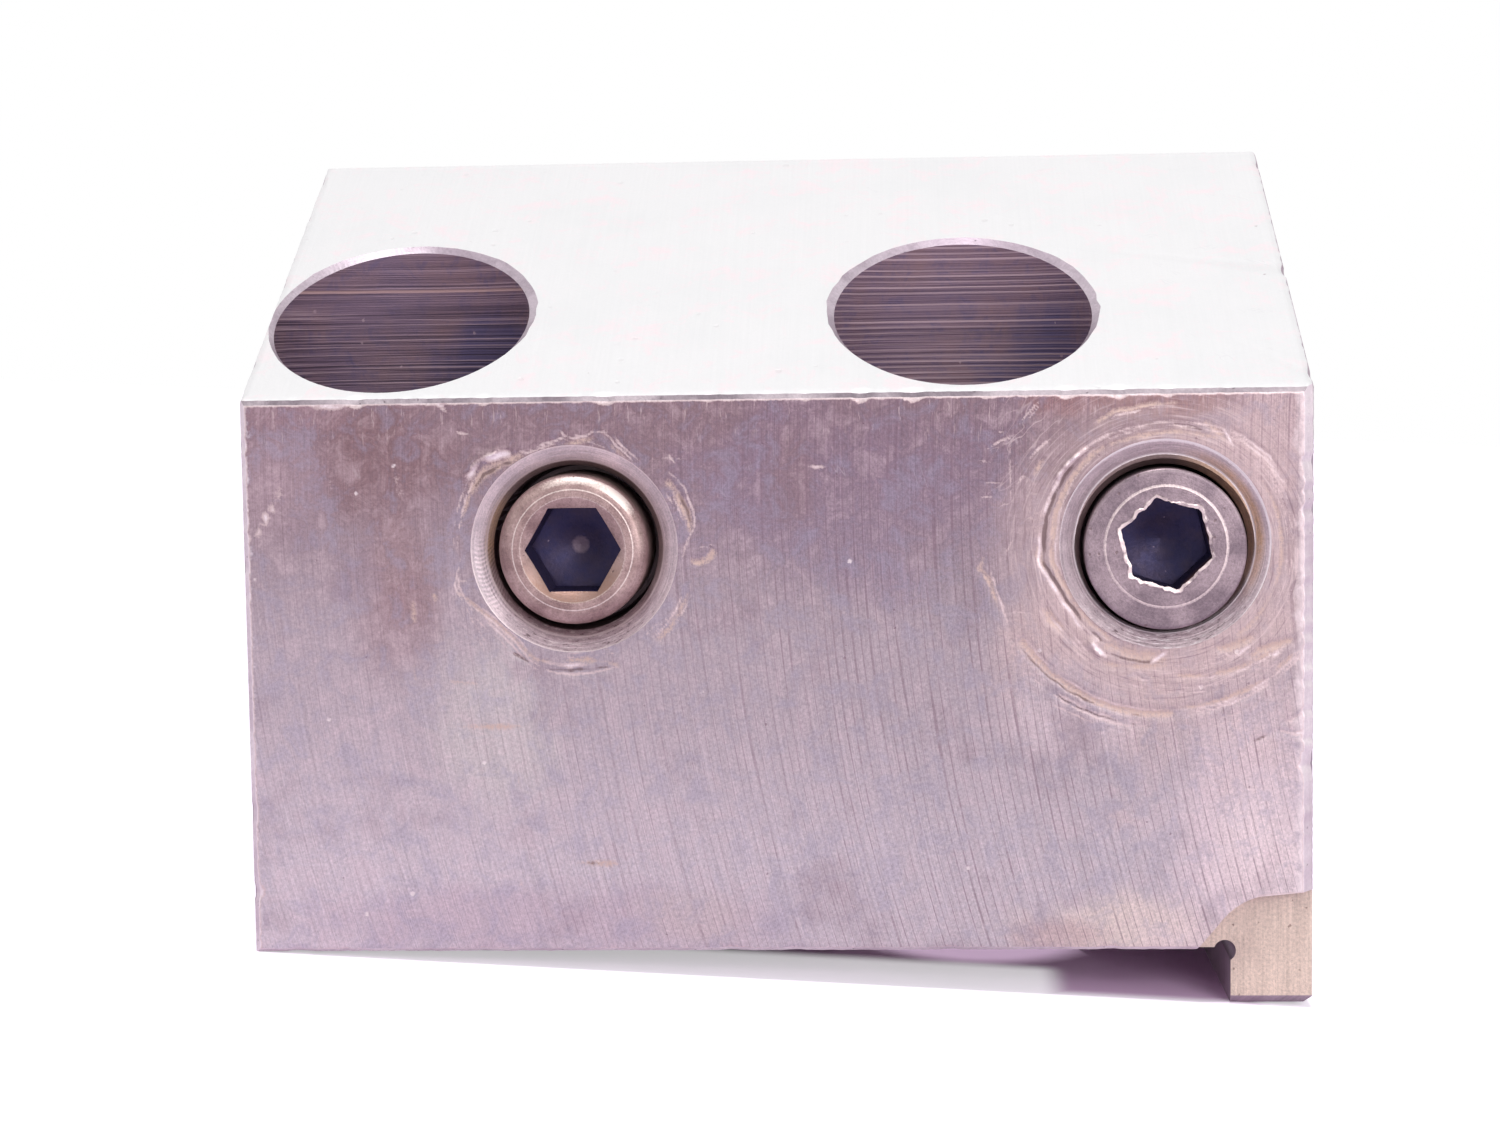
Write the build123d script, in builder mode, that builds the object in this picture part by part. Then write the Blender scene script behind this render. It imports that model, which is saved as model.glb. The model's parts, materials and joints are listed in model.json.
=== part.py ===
from build123d import *
import math
import os

os.makedirs("parts", exist_ok=True)

# All lengths are in millimetres and all angles in degrees.
# The origin is the middle of the seat face. +X runs to the lip end, +Y to the back, +Z up.

# Block, with a flat seat below and a sloping top that rises from the front to the back
block_width = 101.6
block_depth = 44.45
front_height = 53.2
top_slope = 29.0
left_edge_break = 0.4
right_edge_break = 0.9
long_edge_break = 0.3

# Locating lip that hangs below the right end of the seat, with a relief groove in its inner corner
lip_width = 7.7
lip_drop = 5.5
lip_corner_break = 0.7
lip_front_break = 0.8
relief_radius = 1.05
relief_bite = 0.5
relief_rise = 0.7

# Milled recess that sets the front of the lip back from the front face
recess_depth = 1.2
recess_reach = 3.3
recess_shoulder_reach = 0.8
recess_shoulder_rise = 3.0
recess_bend_reach = 2.5
recess_bend_rise = 5.1
recess_rise = 5.6

# Upright bores for the boring bars, open at the slope and at the seat
bar_radius = 12.7
bore_side_wall = 0.64
bore_front_wall = 1.65
bore_mouth_break = 0.45
bore_seat_break = 0.3

# Cross holes for the clamps, through the block from front to back beside each bore
clamp_hole_radius = 7.9375
left_clamp_drop = 14.35
right_clamp_drop = 14.9
clamp_right_wall = 6.0
ring_outer_width = 1.42
ring_outer_depth = 0.9
ring_inner_width = 0.55
ring_inner_depth = 1.0
right_ring_rise = 0.45
back_mouth_break = 0.5

# Clamp screws, each with a hexagon socket in its head
thread_radius = 4.7625
screw_tip_inset = 0.25
screw_tip_break = 1.0
socket_flats = 7.94
socket_depth = 6.0
socket_point_depth = 1.2
left_head_gap = 0.79
left_head_proud = 1.3
left_head_seat = 8.2
left_head_round = 1.3
left_socket_mouth = 5.0
right_head_gap = 0.34
right_head_proud = 0.6
right_head_seat = 7.5
right_head_round = 0.3
right_socket_mouth = 4.75
right_socket_turn = -17.0
right_socket_shift = 0.1
right_socket_rise = 0.5

# Clamp plugs, drawn together by the screw until their scoops grip the bar
plug_clearance = 0.05
screw_clearance = 0.1
thread_clearance = 0.05
scoop_clearance = 0.05
scoop_wall = 0.9375
plug_gap = 1.5
plug_travel = 0.35
plug_end_break = 0.3
rear_plug_inset = 3.95

# Places and sizes that follow from the values above
front_y = -block_depth / 2
slope_rise = math.tan(math.radians(top_slope))
back_height = front_height + block_depth * slope_rise
lip_inner_x = block_width / 2 - lip_width
relief_x = lip_inner_x + relief_bite - relief_radius
relief_z = relief_rise - relief_radius
screw_hole_radius = thread_radius + screw_clearance
tapped_hole_radius = thread_radius + thread_clearance
plug_radius = clamp_hole_radius - plug_clearance
clamp_offset = bar_radius + screw_hole_radius + scoop_wall
left_clamp_height = front_height - left_clamp_drop
right_clamp_height = front_height - right_clamp_drop
bore_setback = bore_front_wall + bar_radius
bore_y = front_y + bore_setback
left_bore_x = -block_width / 2 + bore_side_wall + bar_radius
right_bore_x = block_width / 2 - clamp_right_wall - clamp_hole_radius - clamp_offset
scoop_radius = bar_radius + scoop_clearance
front_plug_end = bore_setback - plug_gap / 2
rear_plug_start = bore_setback + plug_gap / 2
rear_plug_end = block_depth - rear_plug_inset
screw_end = rear_plug_end - screw_tip_inset
ring_inner_radius = clamp_hole_radius + ring_inner_width
ring_outer_radius = ring_inner_radius + ring_outer_width


# A drawing plane parallel to the front face, seen from the front, X to the right and Z up
def plane_behind_front(depth):
    return Plane(origin=(0, front_y + depth, 0), x_dir=(1, 0, 0), z_dir=(0, -1, 0))


# A cone along Y from a depth behind the front face, to be cut out of the piece being built
def cut_cone(x, z, depth, first_radius, last_radius, length):
    with Locations(Plane(origin=(x, front_y + depth, z), x_dir=(1, 0, 0), z_dir=(0, 1, 0))):
        Cone(
            first_radius,
            last_radius,
            length,
            align=(Align.CENTER, Align.CENTER, Align.MIN),
            mode=Mode.SUBTRACT,
        )


# A disc extruded along Y between two depths behind the front face
def disc_between(x, z, radius, start, end, mode=Mode.ADD):
    with BuildSketch(plane_behind_front(start)) as disc:
        with Locations((x, z)):
            Circle(radius)
    extrude(disc.sketch, amount=start - end, mode=mode)


# Block
with BuildPart() as block:
    with BuildSketch(Plane.XY) as plan:
        Rectangle(block_width, block_depth)
        chamfer(plan.vertices().group_by(Axis.Y)[0].sort_by(Axis.X)[0], left_edge_break)
        chamfer(plan.vertices().group_by(Axis.Y)[0].sort_by(Axis.X)[-1], right_edge_break)
        chamfer(plan.vertices().group_by(Axis.Y)[-1], long_edge_break)
    extrude(amount=back_height)
    slope_up = (0, -math.sin(math.radians(top_slope)), math.cos(math.radians(top_slope)))
    split(bisect_by=Plane(origin=(0, front_y, front_height), z_dir=slope_up), keep=Keep.BOTTOM)
    crosswise = block.edges().filter_by(Axis.X)
    chamfer([edge for edge in crosswise if edge.center().Z > front_height / 2], long_edge_break)

    # Lip under the right end
    with BuildSketch(plane_behind_front(0)):
        with BuildLine():
            Polyline(
                (lip_inner_x, 0),
                (lip_inner_x, -lip_drop),
                (block_width / 2 - lip_corner_break, -lip_drop),
                (block_width / 2, lip_corner_break - lip_drop),
                (block_width / 2, 0),
                close=True,
            )
        make_face()
    extrude(amount=-block_depth)

    # Recess in front of the lip, its outline a straight flank, a bend and a long flat run
    with BuildSketch(plane_behind_front(0)):
        with BuildLine():
            flank = Line(
                (lip_inner_x - recess_reach, 0),
                (lip_inner_x - recess_shoulder_reach, recess_shoulder_rise),
            )
            bend = TangentArc(flank @ 1, (lip_inner_x + recess_bend_reach, recess_bend_rise), tangent=flank % 1)
            Polyline(
                bend @ 1,
                (block_width / 2, recess_rise),
                (block_width, recess_rise),
                (block_width, -2 * lip_drop),
                (lip_inner_x - recess_reach, -2 * lip_drop),
                flank @ 0,
            )
        make_face()
    extrude(amount=-recess_depth, mode=Mode.SUBTRACT)
    lip_foot = block.edges().filter_by(Axis.X).group_by(Axis.Z)[0]
    chamfer(lip_foot.sort_by(Axis.Y)[0], lip_front_break)
    chamfer(lip_foot.sort_by(Axis.Y)[-1], long_edge_break)

    # Relief groove in the corner between the seat and the lip
    disc_between(relief_x, relief_z, relief_radius, 0, block_depth, Mode.SUBTRACT)
    seat_edges = block.edges().filter_by(Axis.X).filter_by_position(Axis.Z, -0.01, 0.01)
    chamfer(seat_edges.sort_by(SortBy.LENGTH)[-2:], long_edge_break)

    # Bores, their mouths broken by a narrow bevel
    for bore_x in (left_bore_x, right_bore_x):
        with Locations((bore_x, bore_y, back_height)):
            Hole(bar_radius)
    chamfer(block.edges().filter_by(GeomType.ELLIPSE), bore_mouth_break)
    seat_mouths = block.edges().filter_by(GeomType.CIRCLE).filter_by_position(Axis.Z, -0.01, 0.01)
    chamfer(seat_mouths, bore_seat_break)

    # Cross holes, each with a wide bevel and a steeper one behind it at the front
    for bore_x, clamp_height, ring_rise in (
        (left_bore_x, left_clamp_height, 0),
        (right_bore_x, right_clamp_height, right_ring_rise),
    ):
        clamp_x = bore_x + clamp_offset
        disc_between(clamp_x, clamp_height, clamp_hole_radius, 0, block_depth, Mode.SUBTRACT)
        cut_cone(
            clamp_x,
            clamp_height + ring_rise,
            0,
            ring_outer_radius,
            ring_inner_radius,
            ring_outer_depth,
        )
        cut_cone(
            clamp_x,
            clamp_height,
            ring_outer_depth,
            ring_inner_radius,
            clamp_hole_radius,
            ring_inner_depth,
        )
        cut_cone(
            clamp_x,
            clamp_height,
            block_depth - back_mouth_break,
            clamp_hole_radius,
            clamp_hole_radius + back_mouth_break,
            back_mouth_break,
        )
block.part.label = "block"
export_step(block.part, "parts/block.step")

clamps = [
    {
        "side": "left",
        "x": left_bore_x + clamp_offset,
        "height": left_clamp_height,
        "bore_x": left_bore_x,
        "head_gap": left_head_gap,
        "proud": left_head_proud,
        "seat": left_head_seat,
        "round": left_head_round,
        "mouth": left_socket_mouth,
        "turn": 0,
        "shift": 0,
        "rise": 0,
    },
    {
        "side": "right",
        "x": right_bore_x + clamp_offset,
        "height": right_clamp_height,
        "bore_x": right_bore_x,
        "head_gap": right_head_gap,
        "proud": right_head_proud,
        "seat": right_head_seat,
        "round": right_head_round,
        "mouth": right_socket_mouth,
        "turn": right_socket_turn,
        "shift": right_socket_shift,
        "rise": right_socket_rise,
    },
]

for clamp in clamps:
    side = clamp["side"]
    clamp_x = clamp["x"]
    clamp_height = clamp["height"]
    head_radius = clamp_hole_radius - clamp["head_gap"]
    head_top = -clamp["proud"]
    socket_x = clamp_x + clamp["shift"]
    socket_z = clamp_height + clamp["rise"]

    # Cap screw: round head, plain shank at the thread's full size, hexagon socket with a drilled point
    with BuildPart() as cap_screw:
        disc_between(clamp_x, clamp_height, head_radius, head_top, clamp["seat"])
        fillet(cap_screw.edges().sort_by(Axis.Y)[0], clamp["round"])
        disc_between(clamp_x, clamp_height, thread_radius, clamp["seat"], screw_end)
        chamfer(cap_screw.edges().sort_by(Axis.Y)[-1], screw_tip_break)
        with BuildSketch(plane_behind_front(head_top)):
            with Locations((socket_x, socket_z)):
                RegularPolygon(socket_flats / 2, 6, major_radius=False, rotation=clamp["turn"])
        extrude(amount=-socket_depth, mode=Mode.SUBTRACT)
        cut_cone(socket_x, socket_z, head_top, clamp["mouth"], 0, clamp["mouth"] / 2)
        cut_cone(socket_x, socket_z, head_top + socket_depth, socket_flats / 2, 0, socket_point_depth)
    cap_screw.part.label = f"{side}_cap_screw"
    export_step(cap_screw.part, f"parts/{side}_cap_screw.step")

    # Front plug, under the head, with a clear hole for the shank
    with BuildPart() as front_plug:
        disc_between(clamp_x, clamp_height, plug_radius, clamp["seat"], front_plug_end)
        chamfer(front_plug.edges().sort_by(Axis.Y)[0], plug_end_break)
        disc_between(
            clamp_x, clamp_height, screw_hole_radius, clamp["seat"], front_plug_end, Mode.SUBTRACT
        )
        with Locations((clamp["bore_x"], bore_y - plug_travel, clamp_height)):
            Cylinder(scoop_radius, 4 * plug_radius, mode=Mode.SUBTRACT)
    front_plug.part.label = f"{side}_front_plug"
    export_step(front_plug.part, f"parts/{side}_front_plug.step")

    # Rear plug, tapped through for the screw
    with BuildPart() as rear_plug:
        disc_between(clamp_x, clamp_height, plug_radius, rear_plug_start, rear_plug_end)
        chamfer(rear_plug.edges().sort_by(Axis.Y)[-1], plug_end_break)
        disc_between(
            clamp_x, clamp_height, tapped_hole_radius, rear_plug_start, rear_plug_end, Mode.SUBTRACT
        )
        with Locations((clamp["bore_x"], bore_y + plug_travel, clamp_height)):
            Cylinder(scoop_radius, 4 * plug_radius, mode=Mode.SUBTRACT)
    rear_plug.part.label = f"{side}_rear_plug"
    export_step(rear_plug.part, f"parts/{side}_rear_plug.step")
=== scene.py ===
import json
import math

import bmesh
import bpy
from mathutils import Matrix, Vector, noise


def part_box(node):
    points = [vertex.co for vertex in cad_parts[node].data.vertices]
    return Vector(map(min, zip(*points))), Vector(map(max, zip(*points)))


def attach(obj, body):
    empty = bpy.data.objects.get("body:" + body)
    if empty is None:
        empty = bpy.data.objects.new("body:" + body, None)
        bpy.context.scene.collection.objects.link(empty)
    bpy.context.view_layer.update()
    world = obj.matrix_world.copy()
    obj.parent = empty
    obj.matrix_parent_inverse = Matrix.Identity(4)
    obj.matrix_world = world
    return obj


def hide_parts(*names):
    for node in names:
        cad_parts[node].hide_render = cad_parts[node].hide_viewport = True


# A steel boring bar holder: one milled block with two bores, and two clamp screws beside them.
# Lengths in the settings are millimetres, angles degrees and colours sRGB; the scene is in metres.

mm = 0.001

print("Loading the frame")
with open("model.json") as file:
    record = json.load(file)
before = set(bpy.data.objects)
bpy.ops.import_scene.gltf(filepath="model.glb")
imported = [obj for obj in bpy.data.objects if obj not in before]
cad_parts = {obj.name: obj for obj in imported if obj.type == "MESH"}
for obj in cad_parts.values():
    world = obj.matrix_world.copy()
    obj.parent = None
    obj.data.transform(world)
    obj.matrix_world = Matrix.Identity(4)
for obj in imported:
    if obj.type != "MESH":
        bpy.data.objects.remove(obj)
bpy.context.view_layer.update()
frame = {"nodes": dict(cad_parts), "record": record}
blockLow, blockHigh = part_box("block")
leftX, frontY = blockLow.x / mm, blockLow.y / mm
rightX, backY = blockHigh.x / mm, blockHigh.y / mm


def holeCentre(screw):
    low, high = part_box(screw)
    return (low.x + high.x) / 2 / mm, (low.z + high.z) / 2 / mm


leftClampX, leftClampZ = holeCentre("left_cap_screw")
rightClampX, rightClampZ = holeCentre("right_cap_screw")
mounts = {mount["name"]: mount for mount in frame["record"]["mounts"]}
boreRadius = mounts["left_bar_bore"]["dims"]["r_mm"]
boreCentres = [
    (mounts[name]["pos_m"][0] / mm, mounts[name]["pos_m"][1] / mm)
    for name in ("left_bar_bore", "right_bar_bore")
]

blockShape = {
    "topSlope": 29.0,
    "frontHeight": 53.2,
    "lipWidth": 7.7,
    "recessDepth": 1.2,
    "holeRadius": 7.9375,
    "ringOuter": 9.9075,
    "ringBack": 1.9,
    "rightRingRise": 0.45,
}
topZ = blockShape["frontHeight"]
topFront = Vector((0, frontY, topZ))
slopeAngle = math.radians(blockShape["topSlope"])
slopeNormal = Vector((0, -math.sin(slopeAngle), math.cos(slopeAngle)))
axisX, axisY, axisZ = Vector((1, 0, 0)), Vector((0, 1, 0)), Vector((0, 0, 1))
# the middle of the scuffed disc round the right screw
rightDisc = (36.86, 38.3)


# Small helpers for numbers and pieces

def clamp01(value):
    return max(0.0, min(1.0, value))


def ramp(value, start, end):
    t = clamp01((value - start) / (end - start))
    return t * t * (3 - 2 * t)


def rough(x, y, size, seed=0.0):
    return noise.noise(Vector((x / size, y / size, seed)))


def inWindow(angle, start, end, soft):
    middle, half = (start + end) / 2, (end - start) / 2
    away = abs((angle - middle + 180) % 360 - 180)
    return 1 - ramp(away, half - soft, half + soft)


def fromSrgb(red, green, blue):
    def linear(value):
        value = value / 255
        return value / 12.92 if value <= 0.04045 else ((value + 0.055) / 1.055) ** 2.4

    return (linear(red), linear(green), linear(blue), 1.0)


def addObject(name, data):
    thing = bpy.data.objects.new(name, data)
    bpy.context.scene.collection.objects.link(thing)
    return thing


def addPiece(name, bm, materials):
    mesh = bpy.data.meshes.new(name)
    bm.to_mesh(mesh)
    bm.free()
    for material in materials:
        mesh.materials.append(material)
    return addObject(name, mesh)


# Shader helpers

class NodeBench:
    # A short way to add nodes and wire them inside one tree

    def __init__(self, tree):
        self.tree = tree

    def feed(self, node, key, value):
        socket = node.inputs[key]
        if isinstance(value, bpy.types.NodeSocket):
            self.tree.links.new(value, socket)
        else:
            socket.default_value = fromSrgb(*value) if socket.type == "RGBA" else value

    def put(self, kind, inputs=None, **settings):
        node = self.tree.nodes.new(kind)
        for name, value in settings.items():
            setattr(node, name, value)
        for key, value in (inputs or {}).items():
            self.feed(node, key, value)
        return node

    def math(self, operation, *values, limit=False):
        node = self.put("ShaderNodeMath", dict(enumerate(values)), operation=operation, use_clamp=limit)
        return node.outputs[0]

    def times(self, first, *others):
        for value in others:
            first = self.math("MULTIPLY", first, value)
        return first

    def plus(self, base, *layers):
        # The base and each value times its factor
        for value, factor in layers:
            base = self.math("MULTIPLY_ADD", value, factor, base)
        return base

    def swing(self, value, amount, base=None):
        # How far a noise is from its middle, times an amount, on top of a base
        middle = self.math("SUBTRACT", value, 0.5)
        return self.times(middle, amount) if base is None else self.plus(base, (middle, amount))

    def vector(self, operation, *values, **inputs):
        node = self.put("ShaderNodeVectorMath", {**dict(enumerate(values)), **inputs}, operation=operation)
        return node.outputs["Value" if operation == "LENGTH" else "Vector"]

    def combine(self, *values):
        return self.put("ShaderNodeCombineXYZ", dict(enumerate(values))).outputs[0]

    def separate(self, value):
        return self.put("ShaderNodeSeparateXYZ", {0: value}).outputs

    def noise(self, where, scale=1.0, detail=2.0, roughness=0.5, distortion=0.0):
        inputs = {"Scale": scale, "Detail": detail, "Roughness": roughness, "Distortion": distortion}
        return self.put("ShaderNodeTexNoise", {"Vector": where, **inputs}).outputs["Fac"]

    def spread(self, value, fromLow, fromHigh, toLow=0.0, toHigh=1.0, kind="LINEAR"):
        limits = {"From Min": fromLow, "From Max": fromHigh, "To Min": toLow, "To Max": toHigh}
        node = self.put("ShaderNodeMapRange", {"Value": value, **limits}, clamp=True, interpolation_type=kind)
        return node.outputs["Result"]

    def span(self, value, start, end, toLow=0.0, toHigh=1.0, kind="LINEAR"):
        # A spread between two lengths
        return self.spread(value, start * mm, end * mm, toLow, toHigh, kind)

    def mixColor(self, amount, first, second, blend="MIX"):
        inputs = {"Factor": amount, 6: first, 7: second}
        return self.put("ShaderNodeMix", inputs, data_type="RGBA", blend_type=blend).outputs[2]

    def tint(self, tone, color, *masks):
        # The tone with a colour laid over it where every mask is high
        return self.mixColor(self.times(*masks), tone, color)

    def shade(self, tone, light):
        return self.mixColor(1.0, tone, self.combine(light, light, light), "MULTIPLY")

    def group(self, tree, inputs):
        return self.put("ShaderNodeGroup", inputs, node_tree=tree).outputs


def makeGroup(wire, inputs):
    # A shader group from its inputs with their defaults, and a function that gives its outputs
    tree = bpy.data.node_groups.new(wire.__name__, "ShaderNodeTree")
    for label, default in inputs.items():
        kind = "NodeSocketFloat" if isinstance(default, float) else "NodeSocketVector"
        tree.interface.new_socket(name=label, in_out="INPUT", socket_type=kind).default_value = default
    bench = NodeBench(tree)
    results = wire(bench, bench.put("NodeGroupInput").outputs)
    for label in results:
        tree.interface.new_socket(name=label, in_out="OUTPUT", socket_type="NodeSocketFloat")
    bench.put("NodeGroupOutput", results)
    return tree


print("Making the shared shader groups")


def aroundAxis(bench, entry):
    # Distance from an axis and angle around it. Flat = (1, 0, 1) for an axis along Y, (1, 1, 0) along Z.
    away = bench.vector("MULTIPLY", bench.vector("SUBTRACT", entry["Vector"], entry["Centre"]), entry["Flat"])
    x, y, z = bench.separate(away)
    return {"Radius": bench.vector("LENGTH", away), "Turn": bench.math("ARCTAN2", bench.math("ADD", y, z), x)}


def toolLines(bench, entry):
    # Tool lines: noise drawn out along the cut. Across and Along are lengths in metres.
    across = bench.math("DIVIDE", entry["Across"], entry["Pitch"])
    along = bench.math("DIVIDE", entry["Along"], entry["Length"])
    fine = bench.noise(bench.combine(across, along, 0.0), detail=3.0, roughness=0.65)
    wide = bench.noise(bench.combine(bench.times(across, 0.23), bench.times(along, 0.5), 7.0), detail=1.0)
    middle = bench.math("SUBTRACT", fine, 0.5)
    return {"Lines": bench.math("MULTIPLY_ADD", middle, entry["Contrast"], 0.5, limit=True), "Coarse": wide}


def mottle(bench, entry):
    # Cloudy tone changes, a fine tint speckle and a grain
    cloudy = bench.vector("SCALE", entry["Vector"], Scale=bench.math("DIVIDE", 1.0, entry["Cloud Size"]))
    grainy = bench.vector("SCALE", entry["Vector"], Scale=bench.math("DIVIDE", 1.0, entry["Grain Size"]))
    return {
        "Cloud": bench.noise(cloudy, detail=5.0, roughness=0.6),
        "Tint": bench.noise(cloudy, 3.1, detail=4.0, roughness=0.7, distortion=0.6),
        "Grain": bench.noise(grainy, detail=3.0, roughness=0.75),
    }


def scratches(bench, entry):
    # Fine random scratches: thin crossings of a stretched noise, only where a second noise is high
    x, y, z = bench.separate(entry["Vector"])
    flat = bench.combine(x, bench.math("ADD", z, y), 0.0)
    turned = bench.put("ShaderNodeVectorRotate", {0: flat, "Angle": entry["Tilt"]}, rotation_type="Z_AXIS")
    lane = bench.separate(turned.outputs[0])
    across = bench.math("DIVIDE", lane[0], 0.0011)
    along = bench.math("DIVIDE", lane[1], entry["Length"])
    streak = bench.noise(bench.combine(across, along, entry["Tilt"]), detail=1.0)
    thin = bench.spread(bench.math("ABSOLUTE", bench.math("SUBTRACT", streak, 0.5)), 0.0, 0.018, 1.0, 0.0)
    gate = bench.noise(bench.vector("ADD", flat, (0.3, 0.7, 0.0)), 240.0)
    kept = bench.spread(gate, bench.math("SUBTRACT", 0.78, bench.times(entry["Amount"], 0.3)), 0.8)
    return {"Mask": bench.math("MULTIPLY", thin, kept, limit=True)}


def specks(bench, entry):
    # Small dents and bright nicks, sparse and uneven in size
    warp = bench.noise(entry["Vector"], 2500.0)
    moved = bench.vector("SCALE", bench.combine(warp, warp, warp), Scale=0.0004)
    moved = bench.vector("ADD", entry["Vector"], moved)
    scaled = bench.vector("SCALE", moved, Scale=bench.math("DIVIDE", 1.0, entry["Spacing"]))
    cell = bench.put("ShaderNodeTexVoronoi", {"Vector": scaled, "Scale": 1.0}, feature="F1").outputs
    chance = bench.separate(cell["Color"])
    size = bench.times(entry["Size"], bench.math("ADD", 0.4, chance[1]))
    spot = bench.spread(bench.math("DIVIDE", cell["Distance"], size), 0.6, 1.0, 1.0, 0.0)
    return {"Mask": bench.times(spot, bench.math("LESS_THAN", chance[0], entry["Share"]))}


def stainPatch(bench, entry):
    # An oval stain whose outline follows a cloudy noise that the material hands in
    away = bench.vector("DIVIDE", bench.vector("SUBTRACT", entry["Vector"], entry["Centre"]), entry["Reach"])
    ragged = bench.swing(entry["Cloud"], entry["Ragged"])
    distance = bench.plus(bench.vector("LENGTH", away), (ragged, 3.0))
    return {"Mask": bench.spread(distance, 0.35, 1.15, 1.0, 0.0, "SMOOTHSTEP")}


origin = (0, 0, 0)
roundGroup = makeGroup(aroundAxis, {"Vector": origin, "Centre": origin, "Flat": (1, 0, 1)})
linesGroup = makeGroup(
    toolLines, {"Across": 0.0, "Along": 0.0, "Pitch": 0.0004, "Length": 0.01, "Contrast": 1.0}
)
mottleGroup = makeGroup(mottle, {"Vector": origin, "Cloud Size": 0.008, "Grain Size": 0.0003})
scratchGroup = makeGroup(scratches, {"Vector": origin, "Tilt": 0.5, "Length": 0.012, "Amount": 0.5})
speckGroup = makeGroup(specks, {"Vector": origin, "Spacing": 0.003, "Size": 0.12, "Share": 0.4})
patchGroup = makeGroup(
    stainPatch, {"Vector": origin, "Centre": origin, "Reach": (0.01, 1.0, 0.01), "Cloud": 0.5, "Ragged": 0.6}
)


# Materials

class MaterialBench(NodeBench):
    # The nodes of one material, with the shared effects set in millimetres

    def __init__(self, name):
        self.material = bpy.data.materials.new(name)
        self.material.use_nodes = True
        super().__init__(self.material.node_tree)
        self.tree.nodes.clear()
        self.shader = self.put("ShaderNodeBsdfPrincipled")
        self.put("ShaderNodeOutputMaterial", {0: self.shader.outputs[0]})
        self.where = self.put("ShaderNodeTexCoord").outputs["Object"]

    def attribute(self, name):
        return self.put("ShaderNodeAttribute", attribute_name=name).outputs["Fac"]

    def mottle(self, cloudSize=8.0, grainSize=0.3):
        sizes = {"Cloud Size": cloudSize * mm, "Grain Size": grainSize * mm}
        self.cloud, self.hue, self.grain = self.group(mottleGroup, {"Vector": self.where, **sizes})
        return self.cloud, self.hue, self.grain

    def around(self, x, z):
        return self.group(roundGroup, {"Vector": self.where, "Centre": (x * mm, 0, z * mm)})

    def lines(self, across, along, pitch, length, contrast):
        sizes = {"Pitch": pitch * mm, "Length": length * mm, "Contrast": contrast}
        return self.group(linesGroup, {"Across": across, "Along": along, **sizes})

    def scratches(self, tilt, amount, length=12.0):
        inputs = {"Vector": self.where, "Tilt": tilt, "Length": length * mm, "Amount": amount}
        return self.group(scratchGroup, inputs)[0]

    def specks(self, spacing, size, share, where=None):
        inputs = {"Vector": where or self.where, "Spacing": spacing * mm, "Size": size, "Share": share}
        return self.group(speckGroup, inputs)[0]

    def patch(self, centre, reach):
        places = {"Centre": [value * mm for value in centre], "Reach": [value * mm for value in reach]}
        return self.group(patchGroup, {"Vector": self.where, "Cloud": self.cloud, **places})[0]

    def finish(self, tone, height, roughness, metallic, bump):
        # Grain in the gloss, and the height as a bump of so many millimetres
        normal = self.put("ShaderNodeBump", {"Height": height, "Distance": bump * mm, "Strength": 1.0})
        self.feed(self.shader, "Base Color", tone)
        self.feed(self.shader, "Roughness", self.spread(self.grain, 0.3, 0.7, *roughness))
        self.feed(self.shader, "Metallic", metallic)
        self.feed(self.shader, "Normal", normal.outputs[0])
        return self.material


frontLook = {
    "topTone": (129, 105, 112),
    "midTone": (168, 154, 161),
    "lowTone": (188, 176, 183),
    "rosyTone": (202, 180, 186),
    "blueTone": (150, 144, 164),
    "deepTone": (120, 94, 108),
    "bareTone": (240, 226, 230),
    "lightTone": (214, 192, 192),
    "tanTone": (206, 179, 168),
    "grooveTone": (100, 76, 76),
    "edgeTone": (244, 230, 232),
    "discTone": (196, 172, 170),
    "nickTone": (236, 222, 224),
    "pitTone": (126, 98, 112),
    "midFade": (52.0, 26.0),
    "lowFade": (28.0, 6.0),
    "sweepRadius": 150.0,
    "sweepHeight": 45.0,
    "lines": {"pitch": 0.12, "length": 14.0, "contrast": 1.5},
    "feedPitch": 0.85,
    "leftLift": 1.24,
    "rubbed": {"centre": (26.5, 0, 44.5), "reach": (7.5, 1000.0, 9.5)},
    "flecks": {"pitch": 0.35, "length": 2.2, "contrast": 2.4},
    "turned": {"pitch": 0.28, "length": 6.0, "contrast": 2.2},
    "turnScale": 0.013,
    "discFade": (12.5, 17.2),
    "rightBand": (48.9, 50.1),
    "leftBand": (-50.1, -50.6),
    "bandRagged": 2.8,
    "roughness": (0.36, 0.5),
    "metallic": 0.45,
    "bump": 0.02,
}

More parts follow.
